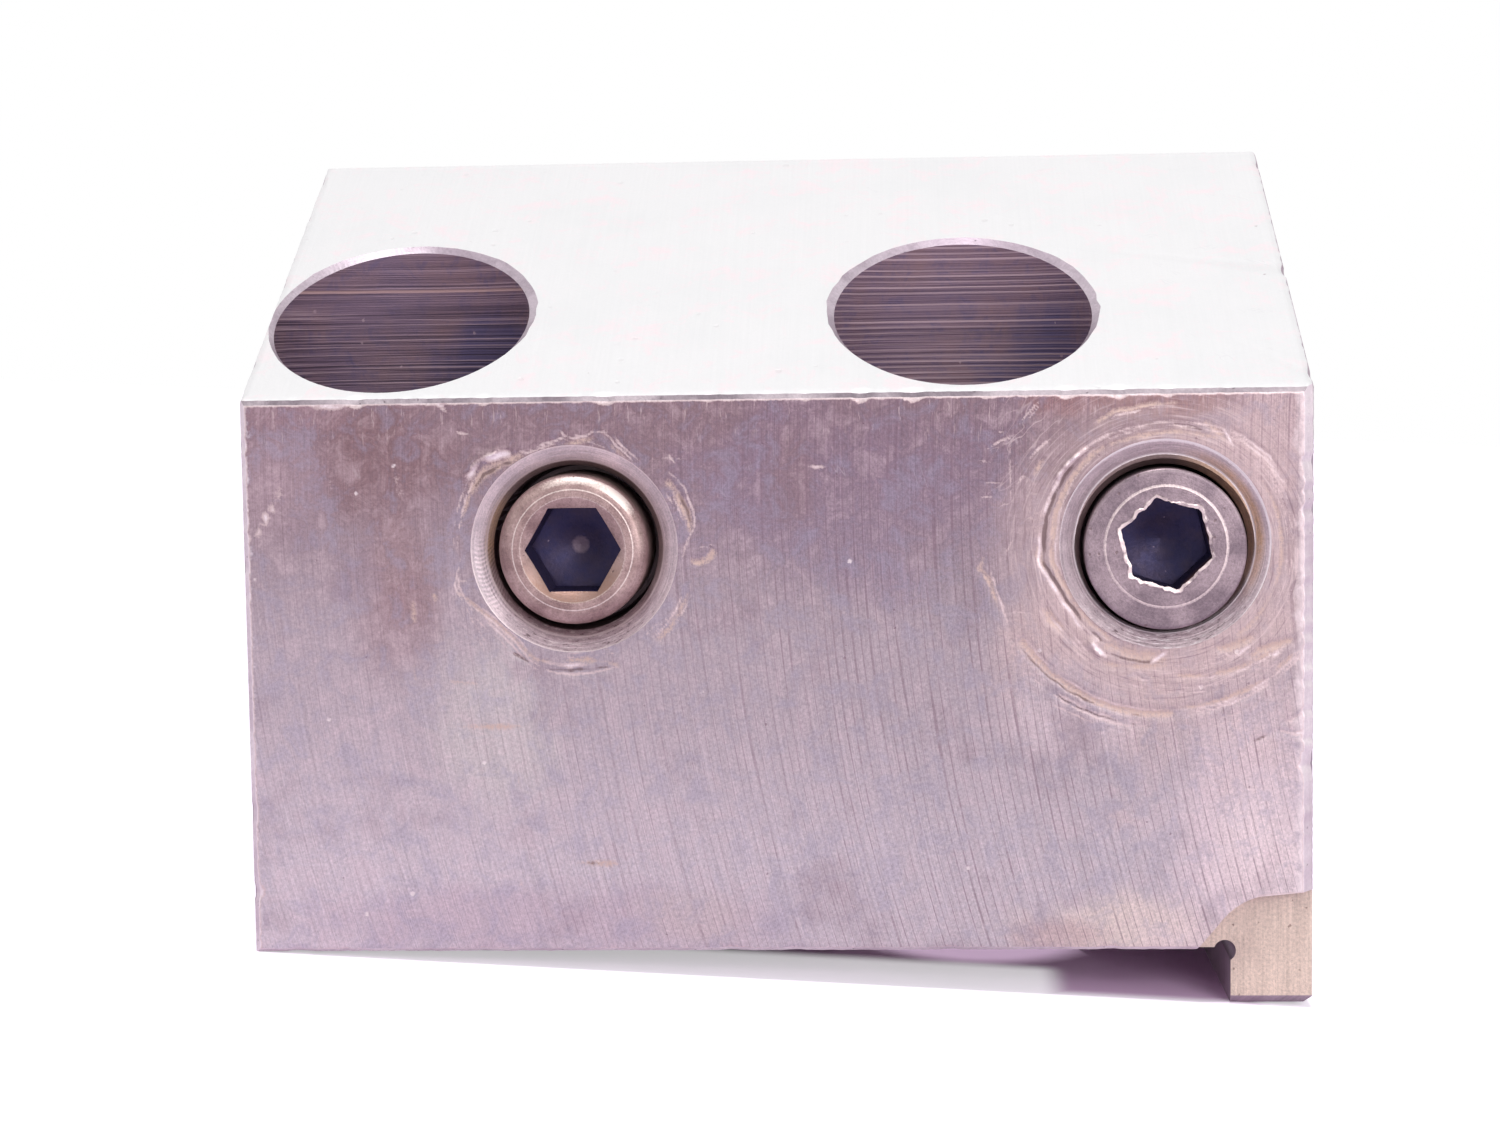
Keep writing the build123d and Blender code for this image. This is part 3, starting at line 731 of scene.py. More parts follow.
# Each mark: kind, half width and the run (x, z) that it follows, then the sideways shifts of its copies
marks = [
    # round the left screw
    ("burr", 0.44, [(-28.8, 45.9), (-28.1, 46.9), (-27.4, 47.45), (-26.4, 47.75), (-25.0, 48.0)]),
    ("tan", 0.5, [(-28.7, 44.6), (-28.0, 45.6), (-27.0, 46.5), (-25.6, 47.2), (-24.0, 47.7)]),
    ("dark", 0.2, [(-28.2, 45.0), (-27.4, 46.0), (-26.3, 46.7), (-24.8, 47.2)]),
    ("light", 0.2, [
        (-28.6, 46.1), (-29.1, 45.1), (-29.7, 43.8), (-30.2, 42.0), (-30.5, 40.0), (-30.6, 38.9),
    ], 0, 0.45),
    ("thinTan", 0.3, [(-28.6, 44.6), (-29.2, 43.2), (-29.7, 41.6), (-29.9, 40.2)]),
    ("light", 0.2, [
        (-15.6, 50.2), (-16.9, 50.3), (-17.7, 49.85), (-18.9, 49.7), (-20.9, 49.1), (-23.0, 48.4),
        (-25.3, 48.0),
    ], 0, 0.3),
    ("thinTan", 0.28, [(-17.0, 50.1), (-18.9, 49.7), (-20.9, 49.1), (-23.0, 48.4), (-25.3, 47.9)], 0.75),
    ("faint", 0.2, [(-15.0, 49.6), (-16.6, 50.1), (-18.4, 49.8)], 1.0, 1.35),
    ("light", 0.2, [
        (-12.2, 46.7), (-12.6, 47.2), (-13.6, 48.2), (-14.5, 48.9), (-14.9, 49.5), (-15.6, 50.2),
    ], 0, 0.4),
    ("thinTan", 0.25, [(-11.3, 45.8), (-12.6, 47.2), (-13.6, 48.2), (-14.6, 49.2)], 0.8),
    ("light", 0.22, [
        (-8.6, 38.0), (-8.1, 39.6), (-7.5, 40.8), (-7.4, 41.7), (-7.9, 43.4), (-8.5, 44.8), (-8.9, 45.2),
        (-9.8, 46.1),
    ]),
    ("tan", 0.42, [(-7.9, 40.7), (-7.95, 41.6), (-8.5, 42.8), (-9.2, 44.1), (-9.8, 45.0)]),
    ("light", 0.2, [(-8.5, 41.4), (-9.1, 43.0), (-9.9, 44.5)], 0, 0.35),
    ("thinDark", 0.25, [(-7.75, 41.0), (-8.2, 42.6), (-8.9, 44.0)]),
    ("light", 0.2, [(-29.7, 38.5), (-30.1, 37.0), (-30.5, 35.6), (-29.9, 34.2), (-29.1, 32.8)], 0, 0.35),
    ("faint", 0.2, [(-30.5, 35.1), (-28.1, 35.0)], 0, 0.9),
    ("light", 0.2, [
        (-29.1, 33.6), (-26.9, 32.0), (-24.9, 30.2), (-23.5, 28.4), (-22.5, 27.6),
    ], 0, -0.4, 0.45),
    ("faint", 0.2, [(-28.1, 33.0), (-26.6, 31.6), (-24.9, 30.0), (-23.3, 28.5)], -0.8, 0.85, 1.2),
    ("thinTan", 0.3, [(-30.2, 34.6), (-28.0, 32.8), (-26.0, 31.2), (-24.4, 29.5), (-23.0, 28.2)], 0.2),
    ("dark", 0.22, [(-24.9, 28.9), (-24.2, 28.5), (-23.6, 28.2)]),
    ("light", 0.22, [(-22.6, 27.6), (-20.9, 27.0), (-18.9, 26.85), (-16.9, 27.1), (-15.1, 27.5)]),
    ("bright", 0.34, [(-21.8, 28.0), (-20.0, 27.75), (-18.0, 27.75), (-16.8, 27.8)]),
    ("thinTan", 0.35, [(-22.6, 28.2), (-20.4, 28.2), (-18.2, 28.3), (-16.0, 28.0), (-15.0, 27.7)]),
    ("thinDark", 0.24, [(-21.5, 27.35), (-19.5, 27.3), (-17.5, 27.35), (-15.6, 27.6)]),
    ("faint", 0.2, [(-23.2, 29.2), (-21.4, 28.6), (-19.0, 28.5), (-16.0, 28.8), (-13.6, 29.3)], 0, 0.4),
    ("thinTan", 0.34, [(-11.1, 29.95), (-9.9, 31.0), (-8.9, 32.6), (-8.0, 34.4)], 0.2),
    ("light", 0.2, [(-11.1, 29.95), (-9.9, 31.0), (-8.9, 32.6), (-8.0, 34.5)], -0.15, 0.6),
    ("faint", 0.22, [(-13.6, 29.4), (-12.0, 30.3), (-10.7, 31.5), (-9.7, 33.1)], 0, 0.4),
    ("faint", 0.24, [(-30.0, 33.5), (-29.3, 31.8), (-28.3, 30.2), (-27.6, 28.9)], 0, 0.5),
    ("light", 0.2, [(-25.0, 52.1), (-24.6, 51.6), (-24.1, 51.2)]),
    ("light", 0.2, [(-20.2, 50.3), (-19.5, 49.5)]),
    ("faint", 0.2, [(-12.5, 47.4), (-4.9, 47.35)]),
    ("light", 0.18, [(-9.8, 47.8), (-9.2, 46.9)]),
    ("tan", 0.36, [(-7.6, 37.6), (-6.9, 37.5), (-6.1, 37.9), (-5.7, 38.4)]),
    ("faint", 0.2, [(-7.2, 38.5), (-5.4, 38.9)], 0, 0.35),
    ("tan", 0.22, [(-32.6, 34.8), (-32.5, 33.9)]),
    ("thinTan", 0.26, [(-31.1, 26.3), (-29.8, 26.1), (-28.2, 25.9)]),
    # the long scrape below, its dark edge and the finer lines outside it
    ("tan", 0.4, arc(16.0, 15.6, 213, 272)),
    ("thinDark", 0.22, arc(16.42, 15.95, 214, 262)),
    ("light", 0.2, arc(15.55, 15.3, 213, 270)),
    ("light", 0.2, arc(17.4, 17.05, 224, 266), 0, 0.4),
    ("thinDark", 0.2, arc(17.4, 17.05, 226, 260), 0.2),
    ("faint", 0.2, arc(16.8, 16.5, 222, 262), 0, 0.35),
    ("faint", 0.22, arc(18.2, 17.6, 226, 258)),
    ("light", 0.22, arc(15.7, 16.3, 274, 326), 0, 0.35),
    ("thinTan", 0.3, arc(15.9, 16.4, 276, 322), 0.75),
    ("faint", 0.2, arc(16.9, 17.1, 272, 318)),
    ("faint", 0.2, arc(17.6, 17.9, 276, 300), 0, 0.3),
    # inner arcs at the lower right
    ("light", 0.2, arc(12.3, 14.5, 276, 321)),
    ("thinTan", 0.3, arc(12.4, 14.6, 276, 322), 0.35),
    ("faint", 0.2, arc(13.2, 15.2, 262, 318), 0, 0.5),
    ("faint", 0.2, arc(11.4, 12.4, 268, 330), 0, 0.4),
    ("tan", 0.42, [(42.0, 28.8), (42.9, 28.9), (43.9, 29.4), (44.9, 29.8)]),
    ("bright", 0.26, [(42.4, 28.4), (43.1, 27.95), (43.9, 28.4), (44.8, 29.1)]),
    ("tan", 0.34, [(45.0, 28.1), (45.6, 28.6), (46.6, 28.9), (48.5, 29.5)]),
    ("bright", 0.24, [(46.4, 28.4), (47.0, 28.15), (47.6, 28.5)]),
    ("light", 0.2, [(48.5, 27.0), (49.4, 28.0), (49.9, 29.2)]),
    # the double burr down the left side of the ring
    ("bright", 0.26, [
        (31.5, 49.1), (29.9, 48.2), (28.4, 47.0), (27.2, 45.5), (26.0, 43.1), (25.4, 41.2), (25.1, 39.3),
        (25.05, 36.9), (26.0, 35.4), (27.4, 33.1), (29.0, 30.9), (30.6, 29.3), (31.2, 28.3),
    ]),
    ("dark", 0.22, [
        (29.9, 48.2), (28.4, 47.0), (27.2, 45.5), (26.0, 43.1), (25.4, 41.2), (25.15, 39.3), (25.2, 36.9),
        (26.1, 35.4), (27.5, 33.1), (29.1, 30.9), (30.6, 29.4),
    ], 0.35),
    ("tan", 0.3, [
        (30.6, 48.6), (29.2, 47.6), (27.9, 46.2), (26.8, 44.4), (25.9, 42.2), (25.5, 39.3), (25.5, 37.0),
        (26.3, 35.2), (27.7, 32.8), (29.3, 30.7), (31.0, 29.3),
    ], 0.85),
    ("light", 0.2, [
        (29.2, 47.6), (27.9, 46.2), (26.8, 44.4), (25.9, 42.2), (25.5, 39.3), (25.5, 37.0), (26.3, 35.2),
        (27.7, 32.8), (29.3, 30.7), (31.0, 29.3),
    ], 1.15),
    ("burr", 0.3, [(30.0, 29.4), (30.6, 28.8), (31.2, 28.2)]),
    ("burr", 0.24, [(26.9, 45.3), (27.6, 46.2), (28.4, 47.0), (29.2, 47.6)]),
    ("tan", 0.34, [(25.0, 38.6), (25.1, 37.6), (25.5, 36.5)]),
    # the scraped hollow under the ring
    ("tan", 0.62, [(31.6, 29.2), (33.0, 28.6), (34.6, 28.2), (36.4, 28.0)]),
    ("thinDark", 0.24, [(31.6, 28.4), (33.2, 27.9), (34.8, 27.6), (36.6, 27.5)]),
    ("bright", 0.3, [(35.6, 27.5), (36.3, 28.1), (37.1, 28.6)]),
    ("thinTan", 0.34, [(30.9, 27.6), (32.4, 27.3), (34.6, 27.2), (36.8, 27.3)]),
    ("light", 0.2, [(34.0, 26.5), (34.8, 25.9), (35.7, 25.8)], 0, 0.5),
    ("faint", 0.22, [(31.2, 26.2), (33.0, 25.6), (35.4, 25.0), (38.0, 24.9)]),
    ("faint", 0.2, [(32.4, 24.7), (33.4, 24.5)]),
    # over the top
    ("light", 0.2, [
        (44.1, 48.7), (42.2, 49.6), (40.3, 50.0), (38.0, 50.3), (36.0, 50.2), (33.7, 49.7), (31.5, 49.1),
    ], 0, 0.4),
    ("dark", 0.18, [(40.3, 49.5), (39.3, 49.75), (37.8, 49.95)]),
    ("thinTan", 0.3, [
        (42.2, 49.6), (40.3, 50.0), (38.0, 50.3), (36.0, 50.2), (33.7, 49.8), (31.5, 49.2),
    ], 1.0),
    ("tan", 0.24, [(37.9, 52.0), (36.0, 52.0), (34.1, 51.6), (32.2, 51.3), (30.7, 50.4)]),
    ("light", 0.2, [(37.9, 52.0), (36.0, 52.0), (34.1, 51.6), (32.2, 51.3), (30.7, 50.4)], 0.4),
    ("bright", 0.2, [(43.2, 47.9), (42.7, 48.8), (42.2, 49.6)]),
    ("thinTan", 0.4, [(42.4, 48.6), (41.6, 49.5), (40.6, 50.1)]),
    ("light", 0.2, [(49.3, 43.1), (47.9, 45.0), (46.5, 46.9), (44.1, 48.8), (41.3, 50.4)], 0, 0.35),
    ("faint", 0.2, [(48.6, 40.0), (48.3, 42.8), (46.9, 45.4), (45.0, 47.4)], 0, 0.4),
    ("faint", 0.2, arc(11.3, 11.6, 318, 412), 0, -0.45),
    ("thinTan", 0.26, arc(10.7, 11.0, 310, 395)),
    ("faint", 0.2, arc(12.5, 12.3, 325, 385)),
    # the outer arc at the left and loose scrapes
    ("thinTan", 0.3, [(19.8, 37.5), (19.4, 36.6), (20.3, 35.6), (20.7, 34.3), (21.3, 32.7)]),
    ("light", 0.2, [
        (19.9, 36.8), (20.3, 35.6), (20.7, 34.3), (21.3, 32.7), (21.9, 30.4), (22.0, 29.8),
    ], 0.4),
    ("tan", 0.38, [(25.7, 32.5), (26.2, 31.7), (27.0, 30.9)]),
    ("light", 0.2, [(25.6, 32.9), (26.6, 31.3), (27.9, 30.0), (28.4, 29.4), (29.4, 28.1)], 0, 0.4),
    ("light", 0.2, [(23.2, 50.1), (24.3, 51.5), (25.5, 52.6)]),
    ("light", 0.2, [(24.1, 50.6), (25.2, 51.9)], 0, 0.45),
    ("light", 0.22, [(20.3, 47.9), (21.5, 48.6), (23.0, 49.2)]),
    ("faint", 0.2, [(20.8, 49.2), (22.4, 49.6)]),
    ("light", 0.24, [(24.2, 46.9), (25.0, 47.8), (26.2, 48.8)]),
    ("thinTan", 0.3, [(24.6, 45.3), (25.4, 46.7)]),
    ("light", 0.22, [(23.0, 44.5), (23.5, 45.2), (24.2, 45.1)]),
    ("faint", 0.2, [(19.0, 46.8), (21.8, 46.6)]),
    ("faint", 0.2, [(19.2, 44.8), (21.8, 44.6)]),
    ("faint", 0.2, [(19.0, 43.3), (21.5, 43.5)]),
    ("faint", 0.2, [(22.3, 49.0), (22.5, 42.2)]),
    ("light", 0.18, [(21.5, 38.9), (22.0, 38.3), (22.4, 38.9), (22.8, 39.5)]),
    ("faint", 0.2, [(20.6, 32.5), (24.2, 32.4)]),
    ("bright", 0.26, [(50.6, 21.0), (49.0, 20.7), (47.6, 20.9)]),
    ("light", 0.2, [(50.0, 22.8), (49.0, 22.2), (47.9, 21.7)]),
    ("thinDark", 0.2, [(45.1, 20.0), (47.3, 21.0)]),
    ("thinDark", 0.2, [(47.0, 19.6), (48.6, 19.35), (50.3, 19.3)]),
    # loose marks
    ("tan", 0.26, [(-19.5, 8.75), (-17.4, 8.7), (-15.4, 8.45)]),
    ("bright", 0.2, [(-19.3, 8.75), (-17.4, 8.7), (-15.6, 8.45)], 0.3),
    ("dark", 0.2, [(-19.4, 8.75), (-17.4, 8.7), (-15.5, 8.45)], -0.3),
    ("thinTan", 0.26, [(-30.8, 22.1), (-24.2, 21.8)]),
    ("faint", 0.24, [(-29.4, 21.4), (-26.6, 21.3)]),
    ("bright", 0.36, [(-49.6, 40.2), (-48.2, 42.6), (-46.6, 44.6)]),
    ("light", 0.3, [(-48.9, 43.6), (-46.9, 45.4)]),
    ("light", 0.3, [(-36.4, 48.6), (-36.1, 46.2), (-35.9, 43.8)], 0, 0.6),
    ("light", 0.26, [(-42.2, 45.6), (-41.7, 44.0)]),
    ("bright", 0.3, [(-37.7, 15.6), (-37.6, 14.6)]),
    ("light", 0.34, [(-12.8, 22.6), (-12.1, 22.0)]),
    ("bright", 0.3, [(-24.9, 7.2), (-24.8, 6.4)]),
    ("bright", 0.28, [(-21.6, 7.1), (-21.4, 6.6)]),
    ("bright", 0.4, [(7.0, 4.5), (7.6, 4.1)]),
    ("tan", 0.3, [(-25.2, 16.8), (-24.4, 16.6)]),
    ("thinTan", 0.26, [(-34.6, 34.0), (-34.3, 30.6)]),
    ("thinTan", 0.3, [(-34.8, 28.6), (-34.4, 26.4)]),
    ("light", 0.24, [(3.2, 46.6), (5.4, 46.2)]),
    ("light", 0.24, [(10.7, 44.6), (10.9, 42.4)]),
    ("bright", 0.3, [(-31.9, 53.0), (-31.1, 52.2)]),
    ("light", 0.24, [(-33.0, 50.4), (-31.9, 49.9)]),
    ("light", 0.22, [(-29.9, 50.1), (-28.9, 49.9)]),
    ("bright", 0.45, [(-43.4, 52.75), (-42.0, 52.7), (-40.9, 52.75)]),
]


squareSize = 2


def sideways(points, offset):
    # The same run moved to its left
    moved = []
    for index, (x, z) in enumerate(points):
        before = points[max(index - 1, 0)]
        after = points[min(index + 1, len(points) - 1)]
        alongX, alongZ = after[0] - before[0], after[1] - before[1]
        length = math.hypot(alongX, alongZ)
        moved.append((x - offset * alongZ / length, z + offset * alongX / length))
    return moved


def squaresTouched(first, last, reach):
    low, high = min(first, last) - reach, max(first, last) + reach
    return range(int(low // squareSize), int(high // squareSize) + 1)


def fileStretches():
    # Every stretch of every mark, filed under the squares that it can touch
    squares = {}
    number = 0
    for kind, half, points, *shifts in marks:
        for shift in shifts or [0]:
            number += 1
            run = sideways(points, shift)
            lengths = [math.dist(first, last) for first, last in zip(run, run[1:])]
            done = 0.0
            for (x0, z0), (x1, z1), length in zip(run, run[1:], lengths):
                reach = half * 2.2 + 0.2
                stretch = (number, kind, half, x0, z0, x1, z1, length, done, sum(lengths))
                for column in squaresTouched(x0, x1, reach):
                    for row in squaresTouched(z0, z1, reach):
                        squares.setdefault((column, row), []).append(stretch)
                done += length
    return squares


stretches = fileStretches()


def frontMarks(x, z):
    # Depth, bareness, tan and dark of the marks at a point of the front
    depth = bare = tan = dark = 0.0
    near = stretches.get((int(x // squareSize), int(z // squareSize)), ())
    x += 0.1 * rough(x, z, 1.0, 3.0)
    z += 0.1 * rough(x, z, 1.0, 7.0)
    for number, kind, half, x0, z0, x1, z1, length, done, total in near:
        along = clamp01(((x - x0) * (x1 - x0) + (z - z0) * (z1 - z0)) / length ** 2)
        away = math.hypot(x - x0 - along * (x1 - x0), z - z0 - along * (z1 - z0))
        if away > half * 2:
            continue
        share = (done + along * length) / total
        taper = 0.72 + 0.28 * math.sin(math.pi * (0.05 + 0.9 * share))
        uneven = max(0.35, min(1.0, 0.98 + 0.8 * rough(x, z, 1.9, number * 3.1)))
        strength = (1 - away / (half * 2)) * taper * uneven
        deep, bareShare, tanShare, darkShare = markKinds[kind]
        if deep > 0:
            depth = max(depth, strength * deep)
        else:
            depth += strength * deep
        bare = max(bare, strength * bareShare)
        tan = max(tan, strength * tanShare)
        dark = max(dark, strength * darkShare)
    return depth, bare, tan, dark


# Worn edges: a point on the sharp edge, the two face normals, the axis along it, how bright it is, and
# its wear: the least, the raggedness, the depth and size of the chips, and the seed. The corner is
# planed back along the line between the two normals, unevenly.
edgeWear = [
    (topFront, -axisY, slopeNormal, 0, 0.8, (0.15, 0.06, 0.34, 2.4, 1)),
    (Vector((leftX, frontY, 0)), -axisY, -axisX, 2, 1.0, (0.30, 0.10, 0.45, 4.0, 2)),
    (Vector((rightX, frontY, 0)), -axisY, axisX, 2, 1.0, (0.64, 0.14, 0.50, 4.0, 3)),
    (Vector((0, frontY, 0)), -axisY, -axisZ, 0, 0.6, (0.21, 0.06, 0.25, 3.0, 4)),
    (Vector((leftX, frontY, topZ)), -axisX, slopeNormal, 1, 1.0, (0.10, 0.08, 0.35, 3.5, 5)),
    (Vector((rightX, frontY, topZ)), axisX, slopeNormal, 1, 1.0, (0.14, 0.12, 0.55, 3.0, 6)),
]


def planeEdges(point):
    # The vertex moved back to the worn edge, and how bare the metal is there
    bare = 0.0
    for corner, firstNormal, lastNormal, axis, shine, (least, ragged, chips, chipSize, number) in edgeWear:
        bisector = (firstNormal + lastNormal).normalized()
        fromCorner = point - corner
        offset = fromCorner.dot(bisector)
        faceGap = min(abs(fromCorner.dot(firstNormal)), abs(fromCorner.dot(lastNormal)))
        if not -1.6 <= offset <= 0.01 or faceGap > 1.0:
            continue
        station, seed = point[axis], number * 10
        uneven = rough(station, 0, 0.9, seed) + 0.5 * rough(station, 0, 0.35, seed + 3)
        chip = max(0.0, rough(station, 0, chipSize, seed + 5) - 0.12)
        worn = least + ragged * (0.6 + uneven) + chips * chip
        if offset > -worn:
            point = point - bisector * (offset + worn)
        reach = 0.2 + 0.9 * max(0.0, worn - least - ragged)
        bare = max(bare, shine * (1 - ramp(-offset, worn, worn + reach)))
    return point, bare


print("Cutting the block's mesh")


def sliceFaces(bm, faces, axis, cuts):
    # Bisects the faces at every cut, halving the list so that each cut meets few faces
    if not cuts or not faces:
        return faces
    middle = len(cuts) // 2
    geometry = list(faces)
    geometry += list({edge for face in faces for edge in face.edges})
    geometry += list({vert for face in faces for vert in face.verts})
    result = bmesh.ops.bisect_plane(
        bm, geom=geometry, plane_co=axis * cuts[middle] * mm, plane_no=axis, dist=1e-7
    )
    pieces = [item for item in result["geom"] if isinstance(item, bmesh.types.BMFace)]
    low, high = [], []
    for face in pieces:
        below = face.calc_center_median().dot(axis) < cuts[middle] * mm
        (low if below else high).append(face)
    return sliceFaces(bm, low, axis, cuts[:middle]) + sliceFaces(bm, high, axis, cuts[middle + 1:])


def steps(start, end, step):
    count = int(round((end - start) / step))
    return [start + step * index for index in range(count + 1)]


def facesWhere(bm, test):
    return [face for face in bm.faces if test(face.calc_center_median() / mm, face.normal)]


def isFront(centre, normal):
    return normal.y < -0.999 and abs(centre.y - frontY) < 0.01


def isSlope(centre, normal):
    return normal.dot(slopeNormal) > 0.999 and abs((centre - topFront).dot(slopeNormal)) < 0.05


# Steps of the mesh, the strips beside the edges, which are wider at the right, and the two zones of
# the front round the screws, which are cut finest
blockCuts = {
    "frontStep": 0.7,
    "scarStep": 0.19,
    "edgeStep": 0.3,
    "edge": 0.9,
    "wideEdge": 1.5,
    "zones": [(-31.2, -5.0, 26.2, 50.9), (18.8, 49.3, 20.0, 52.2)],
}


def cutGrid(bm, faces, xCuts, zCuts):
    sliceFaces(bm, sliceFaces(bm, faces, axisX, xCuts), axisZ, zCuts)


def cutZone(bm, x0, x1, z0, z1):
    # Frames the zone first, then fills it
    step = blockCuts["scarStep"]
    cutGrid(bm, facesWhere(bm, isFront), [x0, x1], [z0, z1])
    faces = facesWhere(
        bm, lambda centre, normal: isFront(centre, normal) and x0 < centre.x < x1 and z0 < centre.z < z1
    )
    cutGrid(bm, faces, steps(x0 + step, x1 - step, step), steps(z0 + step, z1 - step, step))


def cutEdgeStrips(bm):
    # Fine rows beside the edges that are worn ragged, cut while the mesh is still small
    fine, edge, wideEdge = blockCuts["edgeStep"], blockCuts["edge"], blockCuts["wideEdge"]
    slopeBase = topFront.dot(slopeNormal)
    for test, axis, cuts in (
        (isSlope, axisY, [frontY + 0.5, frontY + 1.1]),
        (isSlope, axisX, [leftX + edge / 2, leftX + edge, rightX - edge, rightX - edge / 2]),
        (isFront, axisZ, [0.6, edge, topZ - edge, topZ - 0.6, topZ - 0.4]),
        (isFront, axisX, [leftX + 0.6, leftX + edge, rightX - wideEdge, rightX - 1.2]),
    ):
        sliceFaces(bm, facesWhere(bm, test), axis, cuts)
    sides = facesWhere(bm, lambda centre, normal: abs(normal.x) > 0.99 and centre.z > 0)
    sides = sliceFaces(bm, sides, axisY, [frontY + 0.6, frontY + 1.0, frontY + 1.3, frontY + 1.7])
    sliceFaces(bm, sides, slopeNormal, [slopeBase - 0.9, slopeBase - 0.45])

    # each test says whether a face lies in the strip beside one edge
    def fromSlope(centre):
        return abs(centre.dot(slopeNormal) - slopeBase)

    def topRow(centre, normal):
        return abs(centre.y - frontY) < 1.1 and fromSlope(centre) < edge and centre.z > -0.4

    def footRow(centre, normal):
        beforeLip = centre.x < rightX - blockShape["lipWidth"] - 3.4
        return beforeLip and -0.4 < centre.z < edge and abs(centre.y - frontY) < 0.5

    def leftColumn(centre, normal):
        return abs(centre.x - leftX) < edge and abs(centre.y - frontY) < 1.0 and centre.z > -0.4

    def rightColumn(centre, normal):
        return abs(centre.x - rightX) < wideEdge and abs(centre.y - frontY) < 1.7 and centre.z > 5

    def slopeEdges(centre, normal):
        fromSide = abs(min(centre.x - leftX, rightX - centre.x))
        return max(fromSide, fromSlope(centre)) < edge and centre.y > frontY + 0.5 and centre.z > -0.4

    xCuts = steps(leftX + fine, rightX - fine, fine)
    zCuts = steps(fine, topZ - fine, fine)
    yCuts = steps(frontY + fine, backY - fine, fine * 1.4)
    for test, axis, cuts in (
        (topRow, axisX, xCuts), (footRow, axisX, xCuts), (leftColumn, axisZ, zCuts),
        (rightColumn, axisZ, zCuts), (slopeEdges, axisY, yCuts),
    ):
        sliceFaces(bm, facesWhere(bm, test), axis, cuts)


def buildBlock():
    bm = bmesh.new()
    bm.from_mesh(frame["nodes"]["block"].data)
    bmesh.ops.remove_doubles(bm, verts=bm.verts, dist=2e-6)
    flat = [edge for edge in bm.edges if len(edge.link_faces) == 2 and edge.calc_face_angle(3.0) < 0.004]
    bmesh.ops.dissolve_limit(bm, angle_limit=0.01, use_dissolve_boundaries=False, verts=[], edges=flat)
    bm.normal_update()
    cutEdgeStrips(bm)

    edge, wideEdge = blockCuts["edge"], blockCuts["wideEdge"]

    def middleFront(centre, normal):
        inside = leftX + edge < centre.x < rightX - wideEdge and edge < centre.z < topZ - edge
        return inside and isFront(centre, normal)

    step = blockCuts["frontStep"]
    cutGrid(bm, facesWhere(bm, middleFront), steps(leftX + 1.6, rightX - 2.2, step), steps(1.6, 51.6, step))
    for zone in blockCuts["zones"]:
        cutZone(bm, *zone)
    bm.normal_update()
    nameFaces(bm)
    wearFaces(bm)
    bmesh.ops.recalc_face_normals(bm, faces=bm.faces)
    print("Block triangles", sum(len(face.verts) - 2 for face in bm.faces))
    return addPiece("dressedBlock", bm, finishes)


def finishOf(centre, normal):
    # Which finish a face of the block has, from where it lies and how it faces
    if normal.y > 0.98 and centre.y > backY - 0.1:
        return "sideSteel"
    if isFront(centre, normal):
        return "frontSteel"
    if isSlope(centre, normal):
        return "slopeSteel"
    for boreX, boreY in boreCentres:
        away = math.hypot(centre.x - boreX, centre.y - boreY)
        if abs(normal.z) < 0.05 and abs(away - boreRadius) < 0.1:
            return "boreSteel"
        if boreRadius - 0.1 < away < boreRadius + 1.2 and centre.z > 40 and centre.y > frontY + 0.8:
            return "mouthSteel"
    for clampX, clampZ, ringName, rise in (
        (leftClampX, leftClampZ, "leftRingSteel", 0),
        (rightClampX, rightClampZ, "rightRingSteel", blockShape["rightRingRise"]),
    ):
        away = math.hypot(centre.x - clampX, centre.z - clampZ)
        if abs(normal.y) < 0.1 and away < blockShape["holeRadius"] + 0.2:
            return "holeSteel"
        if away < blockShape["ringOuter"] + rise + 0.3 and centre.y < frontY + blockShape["ringBack"] + 0.05:
            return ringName
        if away < blockShape["holeRadius"] + 0.6:
            return "holeSteel"
    if normal.y < -0.9 and abs(centre.y - frontY - blockShape["recessDepth"]) < 0.1:
        return "lipSteel"
    if max(abs(normal.x), abs(normal.y), abs(normal.z)) < 0.98 and centre.y < frontY + 1.0:
        return "topEdgeSteel" if centre.z > topZ - 1 and abs(normal.x) < 0.2 else "edgeSteel"
    return "sideSteel"


def nameFaces(bm):
    for face in bm.faces:
        face.material_index = finishIndex[finishOf(face.calc_center_median() / mm, face.normal)]


# The bevel is kept narrow at the thin wall left of the left bore
mouthWear = {"wider": 0.34, "ragged": 0.12, "thinWall": -48.4, "leastX": -50.72}


def wearMouth(point, names):
    # The bevel round a bore's mouth, worn wider at the back and at the sides, and ragged
    if not {"mouthSteel", "slopeSteel"} <= names:
        return point
    boreX, boreY = min(boreCentres, key=lambda place: abs(place[0] - point.x))
    away = Vector((point.x - boreX, point.y - boreY)).normalized()
    share = ramp(away.y, -0.75, 0.1) * (0.3 + 0.7 * ramp(abs(away.x), 0.4, 0.9))
    share *= 0.25 if point.x < mouthWear["thinWall"] else 1.0
    ragged = mouthWear["ragged"] * rough(math.atan2(away.y, away.x) * 9, boreX, 0.6, 41.0) * 2
    step = (mouthWear["wider"] + ragged) * share
    worn = point + Vector((away.x * step, away.y * step, away.y * step * math.tan(slopeAngle)))
    worn.x = max(worn.x, mouthWear["leastX"])
    return worn


